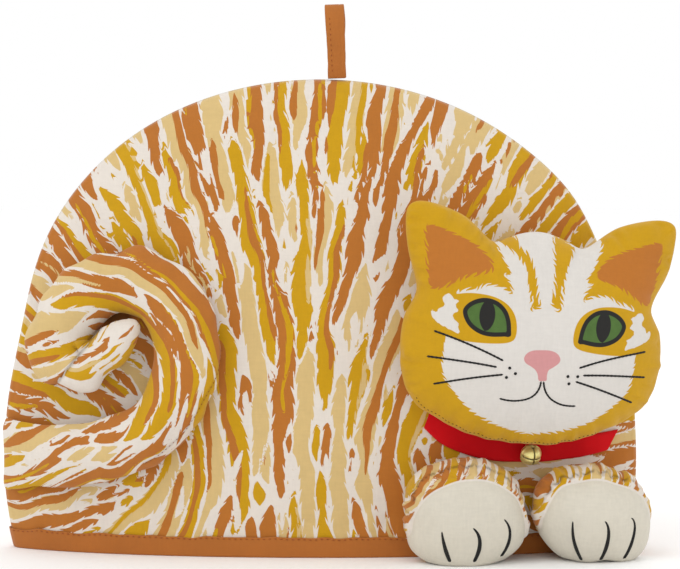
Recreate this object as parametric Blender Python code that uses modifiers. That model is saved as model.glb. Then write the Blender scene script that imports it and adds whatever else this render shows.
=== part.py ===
"""A padded tea cosy in the shape of a crouching cat.

Two domed, wadded panels meet at a seam over the top and are bound along the open hem. A stuffed
head with ears, two stuffed paws and a curled, stuffed tail are sewn to the front, with a collar,
a round bell and a hanging loop.

Metres, +Z up, the front faces -Y. The cosy stands on its bound hem at z = 0. Every piece is
modelled about the middle of the hem, in the plane of the seam; the empty that carries them all
then puts the middle of the whole object's base at the origin.
"""

import math

import bmesh
import bpy
import numpy as np
from mathutils import Matrix, Vector

MM = 0.001

# Panels
HALF_WIDTH = 0.1783  # at its widest, a little above the hem
HEIGHT = 0.2627
CROWN_POWER = 3.3  # over 2: how square the shoulders of the dome are
HEM_TUCK = 0.038  # share by which the hem is narrower than the widest place
TUCK_HEIGHT = 0.054
BULGE = 0.036  # how far the middle of a panel stands out from the seam
SIDE_FULLNESS = 0.75  # under 1: the panel rises steeply from its side seams
CROWN_FULLNESS = 0.6
SEAM_HALF = 0.0024
WADDED_CLOTH = 0.0048
PANEL_FLOOR = 0.0013  # the panel's cut edge, inside the fold of its binding
PANEL_RAYS = 40
PANEL_RINGS = 7
FAN_DROP = 0.03  # the panel's rings run round a point this far below the hem, and are cut at the hem
GRID_SWEEP = math.radians(78)  # the rings crowd together towards the seam
FINE_STEPS = 400

# Binding over the hem
BINDING_HEIGHT = 0.0125
BINDING_CLOTH = 0.001
BINDING_ROOM = 0.0175  # stuffed pieces clear the binding up to here, and close on the panel above

GAP = 0.0003  # between neighbouring pieces
SOFT_GAP = 0.0005  # between a stuffed piece and the panel that it lies against

# Hanging loop
TAPE_WIDTH = 0.011
TAPE_CLOTH = 0.0018
LOOP_RISE = 0.0418
LOOP_SPREAD = 0.006  # three quarters of this is half the loop's opening, front to back
LOOP_SIDES = 30
LOOP_ACROSS = 0.0095
LOOP_LEAN = math.radians(-2)

# Stuffed head: half of its outline, from chin to crown, in millimetres across and up
HEAD_HALF_OUTLINE = (
    # across, up
    (0, -58.2),
    (13, -58),
    (27, -55.5),
    (40.5, -51),
    (52.5, -45),
    (61, -38.5),
    (66.5, -31.5),
    (70, -20),
    (71, -4),
    (70, 7),
    (67, 14),
    (64.2, 19.7),
    (66.5, 30),
    (70.5, 42),
    (73, 60),
    (71.3, 70),
    (61, 70.8),
    (43.5, 65.6),
    (34, 59.5),
    (24.5, 50.6),
    (17, 53.8),
    (8.5, 57),
    (0, 58.4),
)
HEAD_CENTRE = (0.1145, -0.0445, 0.1227)
HEAD_ROLL = math.radians(5.2)
HEAD_YAW = math.radians(8)
HEAD_FRONT = 0.027
HEAD_BACK = 0.025

# Stuffed paws: outlines round the paw, in millimetres from the hem's middle and from the floor
LEFT_PAW_OUTLINE = (
    # across, up
    (46.9, 30.4),
    (48.1, 13.5),
    (53.0, 5.0),
    (62.0, -2.5),
    (75.6, -5.0),
    (88.0, -4.5),
    (99.5, -1.0),
    (108.5, 6.5),
    (113.0, 16.0),
    (113.2, 29.0),
    (109.5, 42.0),
    (99.5, 52.2),
    (85.0, 56.8),
    (70.0, 57.0),
    (56.4, 52.0),
    (48.2, 44.0),
)
RIGHT_PAW_OUTLINE = (
    # across, up
    (117.4, 31.0),
    (119.6, 18.7),
    (124.8, 9.0),
    (133.5, 1.0),
    (146.0, -4.5),
    (160.0, -5.0),
    (172.0, -1.5),
    (179.6, 6.6),
    (181.5, 18.0),
    (180.3, 31.0),
    (175.5, 41.5),
    (165.5, 48.2),
    (152.0, 52.5),
    (137.7, 52.5),
    (126.0, 48.3),
    (119.2, 41.0),
)
LEFT_PAW_YAW = math.radians(8)
RIGHT_PAW_YAW = math.radians(13)
LEFT_PAW_OUT = 0.0515  # how far the middle of the paw's side seam stands in front of the seam plane
RIGHT_PAW_OUT = 0.0415
PAW_FRONT = 0.025
PAW_BACK = 0.03
HEAD_SAMPLES = 56
PAW_SAMPLES = 36
CUSHION_RINGS = 5
CUSHION_FULLNESS = 0.62

# Stuffed tail: its middle line from the root in the side seam to the tip, in millimetres
TAIL_COURSE = (
    # across, up, width, thickness, lift off the panel
    (-177.2, 54.4, 41.0, 9.0, 0.0),
    (-155.3, 54.4, 35.5, 15.0, 0.0),
    (-132.6, 56.6, 34.5, 18.0, 0.0),
    (-110.7, 61.7, 34.5, 21.0, 0.0),
    (-93.4, 71.0, 34.5, 22.0, 0.0),
    (-80.5, 85.1, 35.0, 22.0, 0.0),
    (-73.8, 105.0, 37.0, 22.0, 0.0),
    (-75.3, 127.6, 37.5, 22.0, 0.0),
    (-84.0, 145.0, 37.0, 22.0, 0.0),
    (-99.0, 152.3, 37.0, 21.0, 0.0),
    (-115.6, 150.8, 37.0, 21.0, 0.0),
    (-130.2, 141.6, 36.0, 21.0, 0.0),
    (-140.3, 126.5, 34.0, 21.0, 0.5),
    (-140.6, 112.2, 29.0, 21.0, 2.0),
    (-132.3, 106.0, 24.5, 20.0, 4.5),
    (-120.9, 111.4, 22.5, 18.0, 7.5),
    (-110.9, 120.3, 20.0, 15.0, 10.0),
    (-103.6, 127.0, 14.0, 10.0, 11.5),
    (-99.9, 130.4, 4.0, 4.0, 12.0),
)
TAIL_SECTIONS = 60
TAIL_SIDES = 16
TAIL_EDGE = 1.1  # over 1: its two cloths meet at an edge along each side
TAIL_VOXEL = 0.0052

# Collar: a band cut as part of a ring
COLLAR_CENTRE = (0.1115, 0.1384)
COLLAR_OUTER = 0.087
COLLAR_WIDTH = 0.0165
COLLAR_LEFT = math.radians(-38)
COLLAR_RIGHT = math.radians(37.5)
COLLAR_CLOTH = 0.0014
COLLAR_COLUMNS = 26
COLLAR_ROWS = 2

# Bell
BELL_RADIUS = 0.0058
BELL_ACROSS = 0.1165
BELL_UP = 0.0566
BELL_SLOT = 0.0009
BELL_SLOT_TOP = 0.25  # the slots' upper end, in radii below the middle
BELL_PAST = 1.4  # in radii: well outside the bell
BELL_TILT = (math.radians(-24), 0, math.radians(12))
BELL_SIDES = 20
BELL_ROWS = 12
BELL_WIRE_SIDES = 6
BELL_RIDGE = 0.0005
BELL_EYE_RADIUS = 0.0016
BELL_EYE_WIRE = 0.0006

OVERSHOOT = 0.006  # how far an edge runs past the plane that trims it
CUTTER_SIZE = 0.5

COTTON_PRINT = (0.66, 0.36, 0.13, 1)
COTTON_PLAIN = (0.53, 0.22, 0.06, 1)
RIBBON_RED = (0.43, 0.0, 0.02, 1)
BRASS = (0.75, 0.6, 0.3, 1)


def clear_scene():
    for obj in list(bpy.data.objects):
        bpy.data.objects.remove(obj, do_unlink=True)


def new_collection(name):
    collection = bpy.data.collections.new(name)
    bpy.context.scene.collection.children.link(collection)
    return collection


def new_material(name, colour, roughness, metallic=0.0):
    material = bpy.data.materials.new(name)
    material.use_nodes = True
    shader = material.node_tree.nodes["Principled BSDF"]
    shader.inputs["Base Color"].default_value = colour
    shader.inputs["Roughness"].default_value = roughness
    shader.inputs["Metallic"].default_value = metallic
    return material


def add_object(name, data, collection, material=None):
    obj = bpy.data.objects.new(name, data)
    collection.objects.link(obj)
    if material:
        data.materials.clear()
        data.materials.append(material)
    return obj


def mesh_from(name, vertices, faces):
    mesh = bpy.data.meshes.new(name)
    mesh.from_pydata([tuple(v) for v in vertices], [], faces)
    return mesh


def settle(obj):
    """Replaces an object's mesh by what its modifiers make of it."""
    graph = bpy.context.evaluated_depsgraph_get()
    mesh = bpy.data.meshes.new_from_object(obj.evaluated_get(graph))
    obj.modifiers.clear()
    obj.data = mesh


def through(table, samples, closed):
    """Points on a smooth curve (Catmull-Rom) through the rows of a table."""
    rows = np.array(table, float)
    count = len(rows)
    spans = count if closed else count - 1
    points = []
    for k in range(samples):
        place = k * spans / (samples if closed else samples - 1)
        i = min(int(place), spans - 1)
        f = place - i
        around = [i - 1, i, i + 1, i + 2]
        if closed:
            a, b, c, d = (rows[j % count] for j in around)
        else:
            a, b, c, d = (rows[min(max(j, 0), count - 1)] for j in around)
        bend = (2 * a - 5 * b + 4 * c - d) * f**2 + (3 * b - a - 3 * c + d) * f**3
        points.append(0.5 * (2 * b + (c - a) * f + bend))
    return np.array(points)


def ring_faces(rings, sides):
    """Quads between neighbouring closed rings whose vertices follow each other."""
    return [
        (start + s, start + (s + 1) % sides, start + sides + (s + 1) % sides, start + sides + s)
        for start in range(0, (rings - 1) * sides, sides)
        for s in range(sides)
    ]


def grid_faces(columns, rows):
    """Quads of a grid stored row by row, facing -Y where columns run to +X and rows upwards."""
    wide = columns + 1
    return [
        (start + c, start + c + 1, start + wide + c + 1, start + wide + c)
        for start in range(0, rows * wide, wide)
        for c in range(columns)
    ]


# The dome


def tuck(z):
    below = max(0.0, 1 - max(z, 0.0) / TUCK_HEIGHT)
    return 1 - HEM_TUCK * below**2


def half_width(z):
    share = min(max(z, 0.0) / HEIGHT, 1.0)
    return HALF_WIDTH * math.sqrt(1 - share**CROWN_POWER) * tuck(z)


def depth(x, z):
    """How far the outer face of a panel stands from the plane of the seam."""
    width = max(half_width(z), MM)
    across = max(0.0, 1 - (x / width) ** 2)
    up = max(0.0, 1 - (max(z, 0.0) / HEIGHT) ** 2)
    return SEAM_HALF + BULGE * across**SIDE_FULLNESS * up**CROWN_FULLNESS


def dome_outline():
    """Evenly spaced points up the right side seam, over the top and down the left one."""
    turns = [math.pi * k / FINE_STEPS for k in range(FINE_STEPS + 1)]
    heights = [HEIGHT * (math.sin(a) ** 2) ** (1 / CROWN_POWER) for a in turns]
    fine = [(HALF_WIDTH * math.cos(a) * tuck(z), z) for a, z in zip(turns, heights)]
    below = [(side * half_width(0), -FAN_DROP) for side in (1, -1)]
    line = np.array([below[0], *fine, below[1]])
    along = np.concatenate([[0], np.cumsum(np.linalg.norm(np.diff(line, axis=0), axis=1))])
    even = np.linspace(0, along[-1], PANEL_RAYS + 1)
    across, up = (np.interp(even, along, line[:, axis]) for axis in (0, 1))
    return [(float(x), float(z)) for x, z in zip(across, up)]


def crowded(share):
    """Maps 0..1 to itself with its upper end crowded."""
    return math.sin(share * GRID_SWEEP) / math.sin(GRID_SWEEP)


def dome_fan():
    """The front dome as rings round a point below the hem: its (x, z) points and its faces."""
    outline = dome_outline()
    shares = [crowded(r / PANEL_RINGS) for r in range(1, PANEL_RINGS + 1)]
    points = [(0.0, -FAN_DROP)]
    points += [(share * x, share * (z + FAN_DROP) - FAN_DROP) for share in shares for x, z in outline]
    wide = len(outline)
    faces = [(0, 1 + i, 2 + i) for i in range(PANEL_RAYS)]
    for r in range(PANEL_RINGS - 1):
        for i in range(PANEL_RAYS):
            near = 1 + r * wide + i
            faces.append((near, near + wide, near + wide + 1, near + 1))
    return points, faces


def add_box_cutter(name, low, high, collection):
    mesh = bpy.data.meshes.new(name)
    shape = bmesh.new()
    bmesh.ops.create_cube(shape, size=1)
    size = Vector(high) - Vector(low)
    middle = (Vector(high) + Vector(low)) / 2
    bmesh.ops.scale(shape, vec=size, verts=shape.verts)
    bmesh.ops.translate(shape, vec=middle, verts=shape.verts)
    shape.to_mesh(mesh)
    shape.free()
    cutter = add_object(name, mesh, collection)
    cutter.hide_render = True
    cutter.display_type = "WIRE"
    return cutter


def add_boolean(obj, cutter, operation="DIFFERENCE"):
    modifier = obj.modifiers.new(cutter.name, "BOOLEAN")
    modifier.operation = operation
    modifier.solver = "EXACT"
    modifier.object = cutter


def dome_shell(name, outside, inside, cutters, collection, material):
    """The front dome as a shell from outside to inside its face, trimmed by the cutters."""
    shape = bmesh.new()
    points, faces = dome_fan()
    vertices = [shape.verts.new((x, -depth(x, z), z)) for x, z in points]
    for face in faces:
        shape.faces.new([vertices[i] for i in face])
    seam = set(vertices[-PANEL_RAYS - 1 :])
    seam_edges = [edge for edge in shape.edges if edge.is_boundary and seam.issuperset(edge.verts)]
    made = bmesh.ops.extrude_edge_only(shape, edges=seam_edges)
    for item in made["geom"]:
        if isinstance(item, bmesh.types.BMVert):
            item.co.y = OVERSHOOT / 2
    bmesh.ops.recalc_face_normals(shape, faces=shape.faces)
    if sum(face.normal.y for face in shape.faces) > 0:
        bmesh.ops.reverse_faces(shape, faces=shape.faces)
    mesh = bpy.data.meshes.new(name)
    shape.to_mesh(mesh)
    shape.free()
    obj = add_object(name, mesh, collection, material)
    shell = obj.modifiers.new("thickness", "SOLIDIFY")
    shell.thickness = outside + inside
    shell.offset = (outside - inside) / (outside + inside)
    shell.use_even_offset = True
    for cutter in cutters:
        add_boolean(obj, cutter)
    return obj


def add_panels_and_bindings(collection, cutters, cotton_print, cotton_plain):
    """The front pieces, and the same pieces mirrored behind the seam."""
    far = CUTTER_SIZE
    seam_trim = add_box_cutter("seam_trim", (-far, -GAP / 2, -far), (far, far, far), cutters)
    hem_trim = add_box_cutter("hem_trim", (-far, -far, -far), (far, far, PANEL_FLOOR), cutters)
    fold_trim = add_box_cutter("fold_trim", (-far, -far, -far), (far, far, BINDING_CLOTH), cutters)
    floor_trim = add_box_cutter("floor_trim", (-far, -far, -far), (far, far, 0), cutters)
    top_trim = add_box_cutter("top_trim", (-far, -far, BINDING_HEIGHT), (far, far, far), cutters)

    panel = dome_shell("front_panel", 0.0, WADDED_CLOTH, (seam_trim, hem_trim), collection, cotton_print)
    settle(panel)
    room = dome_shell("binding_room", GAP, WADDED_CLOTH + GAP, (fold_trim,), cutters, cotton_plain)
    settle(room)
    room.hide_render = True
    room.display_type = "WIRE"
    around = GAP + BINDING_CLOTH
    binding = dome_shell(
        "binding_front",
        around,
        WADDED_CLOTH + around,
        (floor_trim, top_trim, room, seam_trim),
        collection,
        cotton_plain,
    )
    settle(binding)
    made = [panel, binding]
    for name, source in (("back_panel", panel), ("binding_back", binding)):
        copy = add_object(name, source.data, collection)
        copy.scale = (1, -1, 1)
        made.append(copy)
    return made


# Stuffed pieces


def rest_against_panel(point, in_front):
    """Brings a point of a stuffed piece to the front of what lies behind it, and onto the floor."""
    point.y = min(point.y, -depth(point.x, point.z) - in_front(point.z))
    point.z = max(point.z, 0.0)
    return point


def panel_gap(z):
    return SOFT_GAP


def binding_gap(z):
    """The same gap, with room for the binding near the hem."""
    near_hem = min(max(2 - z / BINDING_ROOM, 0.0), 1.0)
    return SOFT_GAP + (GAP + BINDING_CLOTH) * near_hem


def add_cushion(name, outline, samples, front, back, centre, roll, yaw, in_front, collection, material):
    """A stuffed form between two cloths that meet at a seam along the outline."""
    place = Matrix.Translation(centre) @ Matrix.Rotation(yaw, 4, "Z") @ Matrix.Rotation(roll, 4, "Y")
    to_local = place.inverted()
    loop = through(outline, samples, closed=True) * MM
    shares = [math.sin(math.pi / 2 * r / CUSHION_RINGS) for r in range(1, CUSHION_RINGS + 1)]
    layers = [(share, -front) for share in shares]
    layers += [(share, back) for share in reversed(shares[:-1])]
    local = [Vector((0, -front, 0))]
    for share, height in layers:
        rise = height * (1 - share * share) ** CUSHION_FULLNESS
        local += [Vector((share * x, rise, share * z)) for x, z in loop]
    local.append(Vector((0, back, 0)))
    vertices = [to_local @ rest_against_panel(place @ point, in_front) for point in local]
    sides = len(loop)
    faces = [tuple(i + 1 for i in face) for face in ring_faces(len(layers), sides)]
    last = 1 + (len(layers) - 1) * sides
    end = len(vertices) - 1
    for s in range(sides):
        after = (s + 1) % sides
        faces.append((0, 1 + after, 1 + s))
        faces.append((end, last + s, last + after))
    mesh = mesh_from(name, vertices, faces)
    obj = add_object(name, mesh, collection, material)
    obj.matrix_basis = place
    face_outwards(mesh)
    return obj


def face_outwards(mesh):
    shape = bmesh.new()
    shape.from_mesh(mesh)
    bmesh.ops.recalc_face_normals(shape, faces=shape.faces)
    if shape.calc_volume(signed=True) < 0:
        bmesh.ops.reverse_faces(shape, faces=shape.faces)
    shape.to_mesh(mesh)
    shape.free()
    mesh.shade_smooth()


def add_head(collection, material):
    right = list(HEAD_HALF_OUTLINE)
    left = [(-across, up) for across, up in reversed(right[1:-1])]
    return add_cushion(
        "head",
        right + left,
        HEAD_SAMPLES,
        HEAD_FRONT,
        HEAD_BACK,
        HEAD_CENTRE,
        HEAD_ROLL,
        HEAD_YAW,
        panel_gap,
        collection,
        material,
    )


def add_paw(name, outline, out, yaw, collection, material):
    middle = np.mean(np.array(outline, float), axis=0)
    centre = (middle[0] * MM, -out, middle[1] * MM)
    turned = [((x - middle[0]) / math.cos(yaw), z - middle[1]) for x, z in outline]
    return add_cushion(
        name,
        turned,
        PAW_SAMPLES,
        PAW_FRONT,
        PAW_BACK,
        centre,
        0.0,
        yaw,
        binding_gap,
        collection,
        material,
    )


def add_tail(collection, material):
    """Elliptical sections along the tail's course, fused where the curl closes on itself."""
    course = through(TAIL_COURSE, TAIL_SECTIONS, closed=False) * MM
    ahead = np.gradient(course[:, :2], axis=0)
    ahead /= np.linalg.norm(ahead, axis=1)[:, None]
    vertices = []
    for (x, z, width, thickness, lift), (along_x, along_z) in zip(course, ahead):
        out = depth(x, z) + SOFT_GAP + lift + thickness / 2
        for s in range(TAIL_SIDES):
            angle = 2 * math.pi * s / TAIL_SIDES
            across = math.cos(angle) * width / 2
            rise = math.copysign(abs(math.sin(angle)) ** TAIL_EDGE, math.sin(angle)) * thickness / 2
            vertices.append((x - across * along_z, rise - out, z + across * along_x))
    faces = ring_faces(TAIL_SECTIONS, TAIL_SIDES)
    faces.append(tuple(range(TAIL_SIDES)))
    faces.append(tuple(reversed(range(len(vertices) - TAIL_SIDES, len(vertices)))))
    mesh = mesh_from("tail", vertices, faces)
    face_outwards(mesh)
    obj = add_object("tail", mesh, collection, material)
    fuse = obj.modifiers.new("fuse", "REMESH")
    fuse.mode = "VOXEL"
    fuse.voxel_size = TAIL_VOXEL
    settle(obj)
    for vertex in obj.data.vertices:
        vertex.co = rest_against_panel(vertex.co.copy(), panel_gap)
    obj.data.shade_smooth()
    return obj


def add_collar(collection, material):
    """A band cut as part of a ring, lying on the front panel."""
    points = []
    for r in range(COLLAR_ROWS + 1):
        radius = COLLAR_OUTER - COLLAR_WIDTH * r / COLLAR_ROWS
        for c in range(COLLAR_COLUMNS + 1):
            angle = COLLAR_LEFT + (COLLAR_RIGHT - COLLAR_LEFT) * c / COLLAR_COLUMNS
            x = COLLAR_CENTRE[0] + radius * math.sin(angle)
            z = COLLAR_CENTRE[1] - radius * math.cos(angle)
            points.append((x, -depth(x, z) - SOFT_GAP, z))
    mesh = mesh_from("collar", points, grid_faces(COLLAR_COLUMNS, COLLAR_ROWS))
    obj = add_object("collar", mesh, collection, material)
    cloth = obj.modifiers.new("thickness", "SOLIDIFY")
    cloth.thickness = COLLAR_CLOTH
    cloth.offset = 1
    return obj


def add_bell(collection, cutters, material):
    """A round bell with a ridge round its middle, crossed slots below and an eye above."""
    mesh = bpy.data.meshes.new("bell")
    shape = bmesh.new()
    bmesh.ops.create_uvsphere(shape, u_segments=BELL_SIDES, v_segments=BELL_ROWS, radius=BELL_RADIUS)
    shape.to_mesh(mesh)
    shape.free()
    bell = add_object("bell", mesh, collection, material)
    eye_up = BELL_RADIUS + BELL_EYE_RADIUS - BELL_EYE_WIRE / 2
    rings = (
        # name, ring radius, wire radius, height, turned on edge
        ("bell_ridge", BELL_RADIUS, BELL_RIDGE, 0.0, False),
        ("bell_eye", BELL_EYE_RADIUS, BELL_EYE_WIRE, eye_up, True),
    )
    for name, radius, wire, up, on_edge in rings:
        bpy.ops.mesh.primitive_torus_add(
            major_segments=BELL_SIDES,
            minor_segments=BELL_WIRE_SIDES,
            major_radius=radius,
            minor_radius=wire,
            location=(0, 0, up),
            rotation=(0, math.pi / 2 if on_edge else 0, 0),
        )
        ring = bpy.context.active_object
        ring.name = name
        for owner in list(ring.users_collection):
            owner.objects.unlink(ring)
        cutters.objects.link(ring)
        ring.hide_render = True
        ring.display_type = "WIRE"
        add_boolean(bell, ring, "UNION")
    half = BELL_SLOT / 2
    reach = BELL_RADIUS * BELL_PAST
    top = -BELL_RADIUS * BELL_SLOT_TOP
    for name, wide, long in (("slot_along", half, reach), ("slot_across", reach, half)):
        slot = add_box_cutter(name, (-wide, -long, -reach), (wide, long, top), cutters)
        add_boolean(bell, slot)
    settle(bell)
    behind = depth(BELL_ACROSS, BELL_UP) + SOFT_GAP + COLLAR_CLOTH + GAP
    bell.location = (BELL_ACROSS, -behind - BELL_RADIUS - BELL_RIDGE, BELL_UP)
    bell.rotation_euler = BELL_TILT
    bell.data.shade_smooth()
    return bell


def add_hanging_loop(collection, material):
    """Tape bent into a teardrop whose foot stands on the top seam."""
    angles = [2 * math.pi * k / LOOP_SIDES for k in range(LOOP_SIDES)]
    inner_rise = LOOP_RISE - 1.5 * TAPE_CLOTH
    inner = [
        Vector(
            (
                LOOP_SPREAD * math.sin(a) * math.sin(a / 2),
                TAPE_CLOTH / 2 + inner_rise * (1 - math.cos(a)) / 2,
            )
        )
        for a in angles
    ]
    outer = []
    for k, point in enumerate(inner):
        along = (inner[(k + 1) % LOOP_SIDES] - inner[k - 1]).normalized()
        moved = point + Vector((along.y, -along.x)) * TAPE_CLOTH
        outer.append(Vector((moved.x, max(moved.y, 0))))
    curve = bpy.data.curves.new("hanging_loop", "CURVE")
    curve.dimensions = "2D"
    curve.fill_mode = "BOTH"
    curve.extrude = TAPE_WIDTH / 2
    for loop in (outer, inner):
        spline = curve.splines.new("POLY")
        spline.points.add(len(loop) - 1)
        spline.use_cyclic_u = True
        for point, place in zip(spline.points, loop):
            point.co = (place.x, place.y, 0, 1)
    obj = add_object("hanging_loop", curve, collection, material)
    obj.matrix_basis = (
        Matrix.Translation((LOOP_ACROSS, 0, HEIGHT + SOFT_GAP))
        @ Matrix.Rotation(LOOP_LEAN, 4, "Y")
        @ Matrix.Rotation(math.pi / 2, 4, "Z")
        @ Matrix.Rotation(math.pi / 2, 4, "X")
    )
    return obj


def stand_on_origin(pieces, collection):
    """Parents the pieces to an empty that puts the middle of their base at the origin."""
    graph = bpy.context.evaluated_depsgraph_get()
    points = []
    for piece in pieces:
        evaluated = piece.evaluated_get(graph)
        points += [evaluated.matrix_world @ vertex.co for vertex in evaluated.to_mesh().vertices]
        evaluated.to_mesh_clear()
    low = Vector(min(p[axis] for p in points) for axis in range(3))
    high = Vector(max(p[axis] for p in points) for axis in range(3))
    stand = add_object("cosy", None, collection)
    for piece in pieces:
        piece.parent = stand
    stand.location = (-(low.x + high.x) / 2, -(low.y + high.y) / 2, -low.z)


def build():
    clear_scene()
    pieces = new_collection("tea_cosy")
    cutters = new_collection("cutters")
    cotton_print = new_material("printed_cotton", COTTON_PRINT, 0.9)
    cotton_plain = new_material("plain_cotton", COTTON_PLAIN, 0.9)
    ribbon = new_material("red_ribbon", RIBBON_RED, 0.75)
    brass = new_material("brass", BRASS, 0.25, 1.0)
    made = add_panels_and_bindings(pieces, cutters, cotton_print, cotton_plain)
    made.append(add_hanging_loop(pieces, cotton_plain))
    made.append(add_tail(pieces, cotton_print))
    made.append(add_head(pieces, cotton_print))
    made.append(add_collar(pieces, ribbon))
    made.append(add_bell(pieces, cutters, brass))
    made.append(
        add_paw("paw_left", LEFT_PAW_OUTLINE, LEFT_PAW_OUT, LEFT_PAW_YAW, pieces, cotton_print)
    )
    made.append(
        add_paw("paw_right", RIGHT_PAW_OUTLINE, RIGHT_PAW_OUT, RIGHT_PAW_YAW, pieces, cotton_print)
    )
    bpy.context.view_layer.update()
    stand_on_origin(made, pieces)


build()
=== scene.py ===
"""The looks of a padded tea cosy in the shape of a crouching cat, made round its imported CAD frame.

Metres unless a table says millimetres; +Z up, the front faces -Y. As in the CAD, each piece is
modelled about the middle of the hem in the plane of the seam, and MIDDLE then moves it to where
the frame stands.
"""

import math

import bpy
import numpy as np
from mathutils import Matrix, Vector
from mathutils.bvhtree import BVHTree


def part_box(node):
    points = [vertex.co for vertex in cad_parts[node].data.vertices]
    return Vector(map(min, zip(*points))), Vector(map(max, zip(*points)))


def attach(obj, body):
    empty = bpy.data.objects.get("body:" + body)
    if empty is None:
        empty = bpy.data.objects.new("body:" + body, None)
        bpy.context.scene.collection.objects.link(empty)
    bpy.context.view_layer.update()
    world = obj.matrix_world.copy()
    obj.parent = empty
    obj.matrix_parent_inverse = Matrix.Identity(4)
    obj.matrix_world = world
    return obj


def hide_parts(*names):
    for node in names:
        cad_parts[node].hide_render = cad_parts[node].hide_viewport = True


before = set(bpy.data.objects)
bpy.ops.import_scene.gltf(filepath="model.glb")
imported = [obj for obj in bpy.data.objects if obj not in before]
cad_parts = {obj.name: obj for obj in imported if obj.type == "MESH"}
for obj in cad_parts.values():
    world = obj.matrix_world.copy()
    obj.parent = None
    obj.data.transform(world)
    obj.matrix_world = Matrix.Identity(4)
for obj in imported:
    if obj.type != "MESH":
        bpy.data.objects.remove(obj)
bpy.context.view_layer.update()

MM = 0.001
FAR = 50.0  # millimetres outside a shape: what its field says where the shape can't be

# The frame's own sizes
HALF_WIDTH = 0.1783
HEIGHT = 0.2627
CROWN_POWER = 3.3
HEM_TUCK = 0.038
TUCK_HEIGHT = 0.054
BULGE = 0.036
SIDE_FULLNESS = 0.75
CROWN_FULLNESS = 0.6
SEAM_HALF = 0.0024
WADDED_CLOTH = 0.0048
PANEL_FLOOR = 0.0013
BINDING_CLOTH = 0.001
SEWN_BINDING = 0.0112  # what is left of the binding's height once the wadding is pressed into it
BINDING_ROOM = 0.0175
GAP = 0.0003
SOFT_GAP = 0.0005

# Camera
PHOTO_WIDTH = 680
FOCAL_PIXELS = 3214.3
SENSOR_MM = 36.0
CAMERA_TARGET = (0.0112, 0.0, 0.14805)
CAMERA_DISTANCE = 1.8
CAMERA_ELEVATION = math.radians(5)

# Panels
PANEL_COLUMNS = 460
PANEL_RINGS = 160
GRID_FOCUS = 0.11  # the grid's lines are confocal curves round two points of the hem
RING_SWEEP = math.radians(62)
LINING_STEP = 5  # the lining's grid is this many times coarser
SEAM_ROLL = 0.0026  # the width over which the face turns into the seam
LEFT_DRAWN_IN = 0.0195  # the share of its width by which the left side is drawn in
RIGHT_FULLNESS = 0.016
LINING_SHRINK = 1 - WADDED_CLOTH / 0.17

# Stuffed head: its outline from chin to crown, in millimetres; the right side is a little fuller
HEAD_OUTLINE = (
    # across to the left, across to the right, up
    (0, 0, -58.2),
    (13, 13, -58),
    (27, 27, -55.5),
    (40.5, 40.5, -51),
    (52.5, 52.5, -45),
    (61, 61.3, -38.5),
    (66.5, 69.2, -30.5),
    (70, 73.6, -19.5),
    (71, 74.3, -4),
    (70, 73, 7),
    (67, 69.4, 14),
    (64.2, 66, 20.5),
    (66.5, 69.2, 30),
    (71, 74.4, 42),
    (74, 76.6, 58.5),
    (72.5, 75.4, 68.3),
    (61.5, 64, 69.8),
    (43.5, 45, 64.6),
    (34, 35.5, 58),
    (24.5, 25.5, 50.4),
    (17, 17.5, 53.8),
    (8.5, 8.5, 57),
    (0, 0, 58.4),
)
HEAD_CENTRE = (0.1145, -0.0445, 0.1227)
HEAD_ROLL = math.radians(5.2)
HEAD_YAW = math.radians(8)
HEAD_FRONT = 0.0265
HEAD_BACK = 0.025
HEAD_FULLNESS = 0.52  # the power of the soap film's height: the lower, the fuller
HEAD_SEED = 31
HEAD_GATHERS = 0.0008
HEAD_GATHER_REACH = 0.008
HEAD_STITCH_INSET = 0.972  # the share of the head's size at which its row of stitches runs
HEAD_STITCHED = (-150, -47)  # degrees round the head between which it does
HEAD_SCALLOP = 0.00035  # how far the gathers of the cheeks and the chin push the outline in and out

# Stuffed paws: outlines in millimetres from the hem's middle and from the floor
LEFT_PAW_OUTLINE = (
    # across, up
    (46.9, 30.4), (48.1, 13.5), (53.0, 5.0), (62.0, -2.5), (75.6, -5.0), (88.0, -4.5), (99.5, -1.0),
    (108.5, 6.5), (113.0, 16.0), (113.2, 29.0), (109.5, 42.0), (99.5, 52.2), (85.0, 56.8),
    (70.0, 57.0), (56.4, 52.0), (48.2, 44.0),
)
RIGHT_PAW_OUTLINE = (
    # across, up
    (117.4, 31.0), (119.6, 18.7), (124.8, 9.0), (133.5, 1.0), (146.0, -4.5), (160.0, -5.0),
    (172.0, -1.5), (179.6, 6.6), (181.5, 18.0), (180.3, 31.0), (175.5, 41.5), (165.5, 48.2),
    (152.0, 52.5), (137.7, 52.5), (126.0, 48.3), (119.2, 41.0),
)
LEFT_PAW_YAW = math.radians(8)
RIGHT_PAW_YAW = math.radians(13)
LEFT_PAW_OUT = 0.0515
RIGHT_PAW_OUT = 0.0415
PAW_FRONT = 0.0245
PAW_BACK = 0.03
PAW_FULLNESS = 0.5

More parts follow.
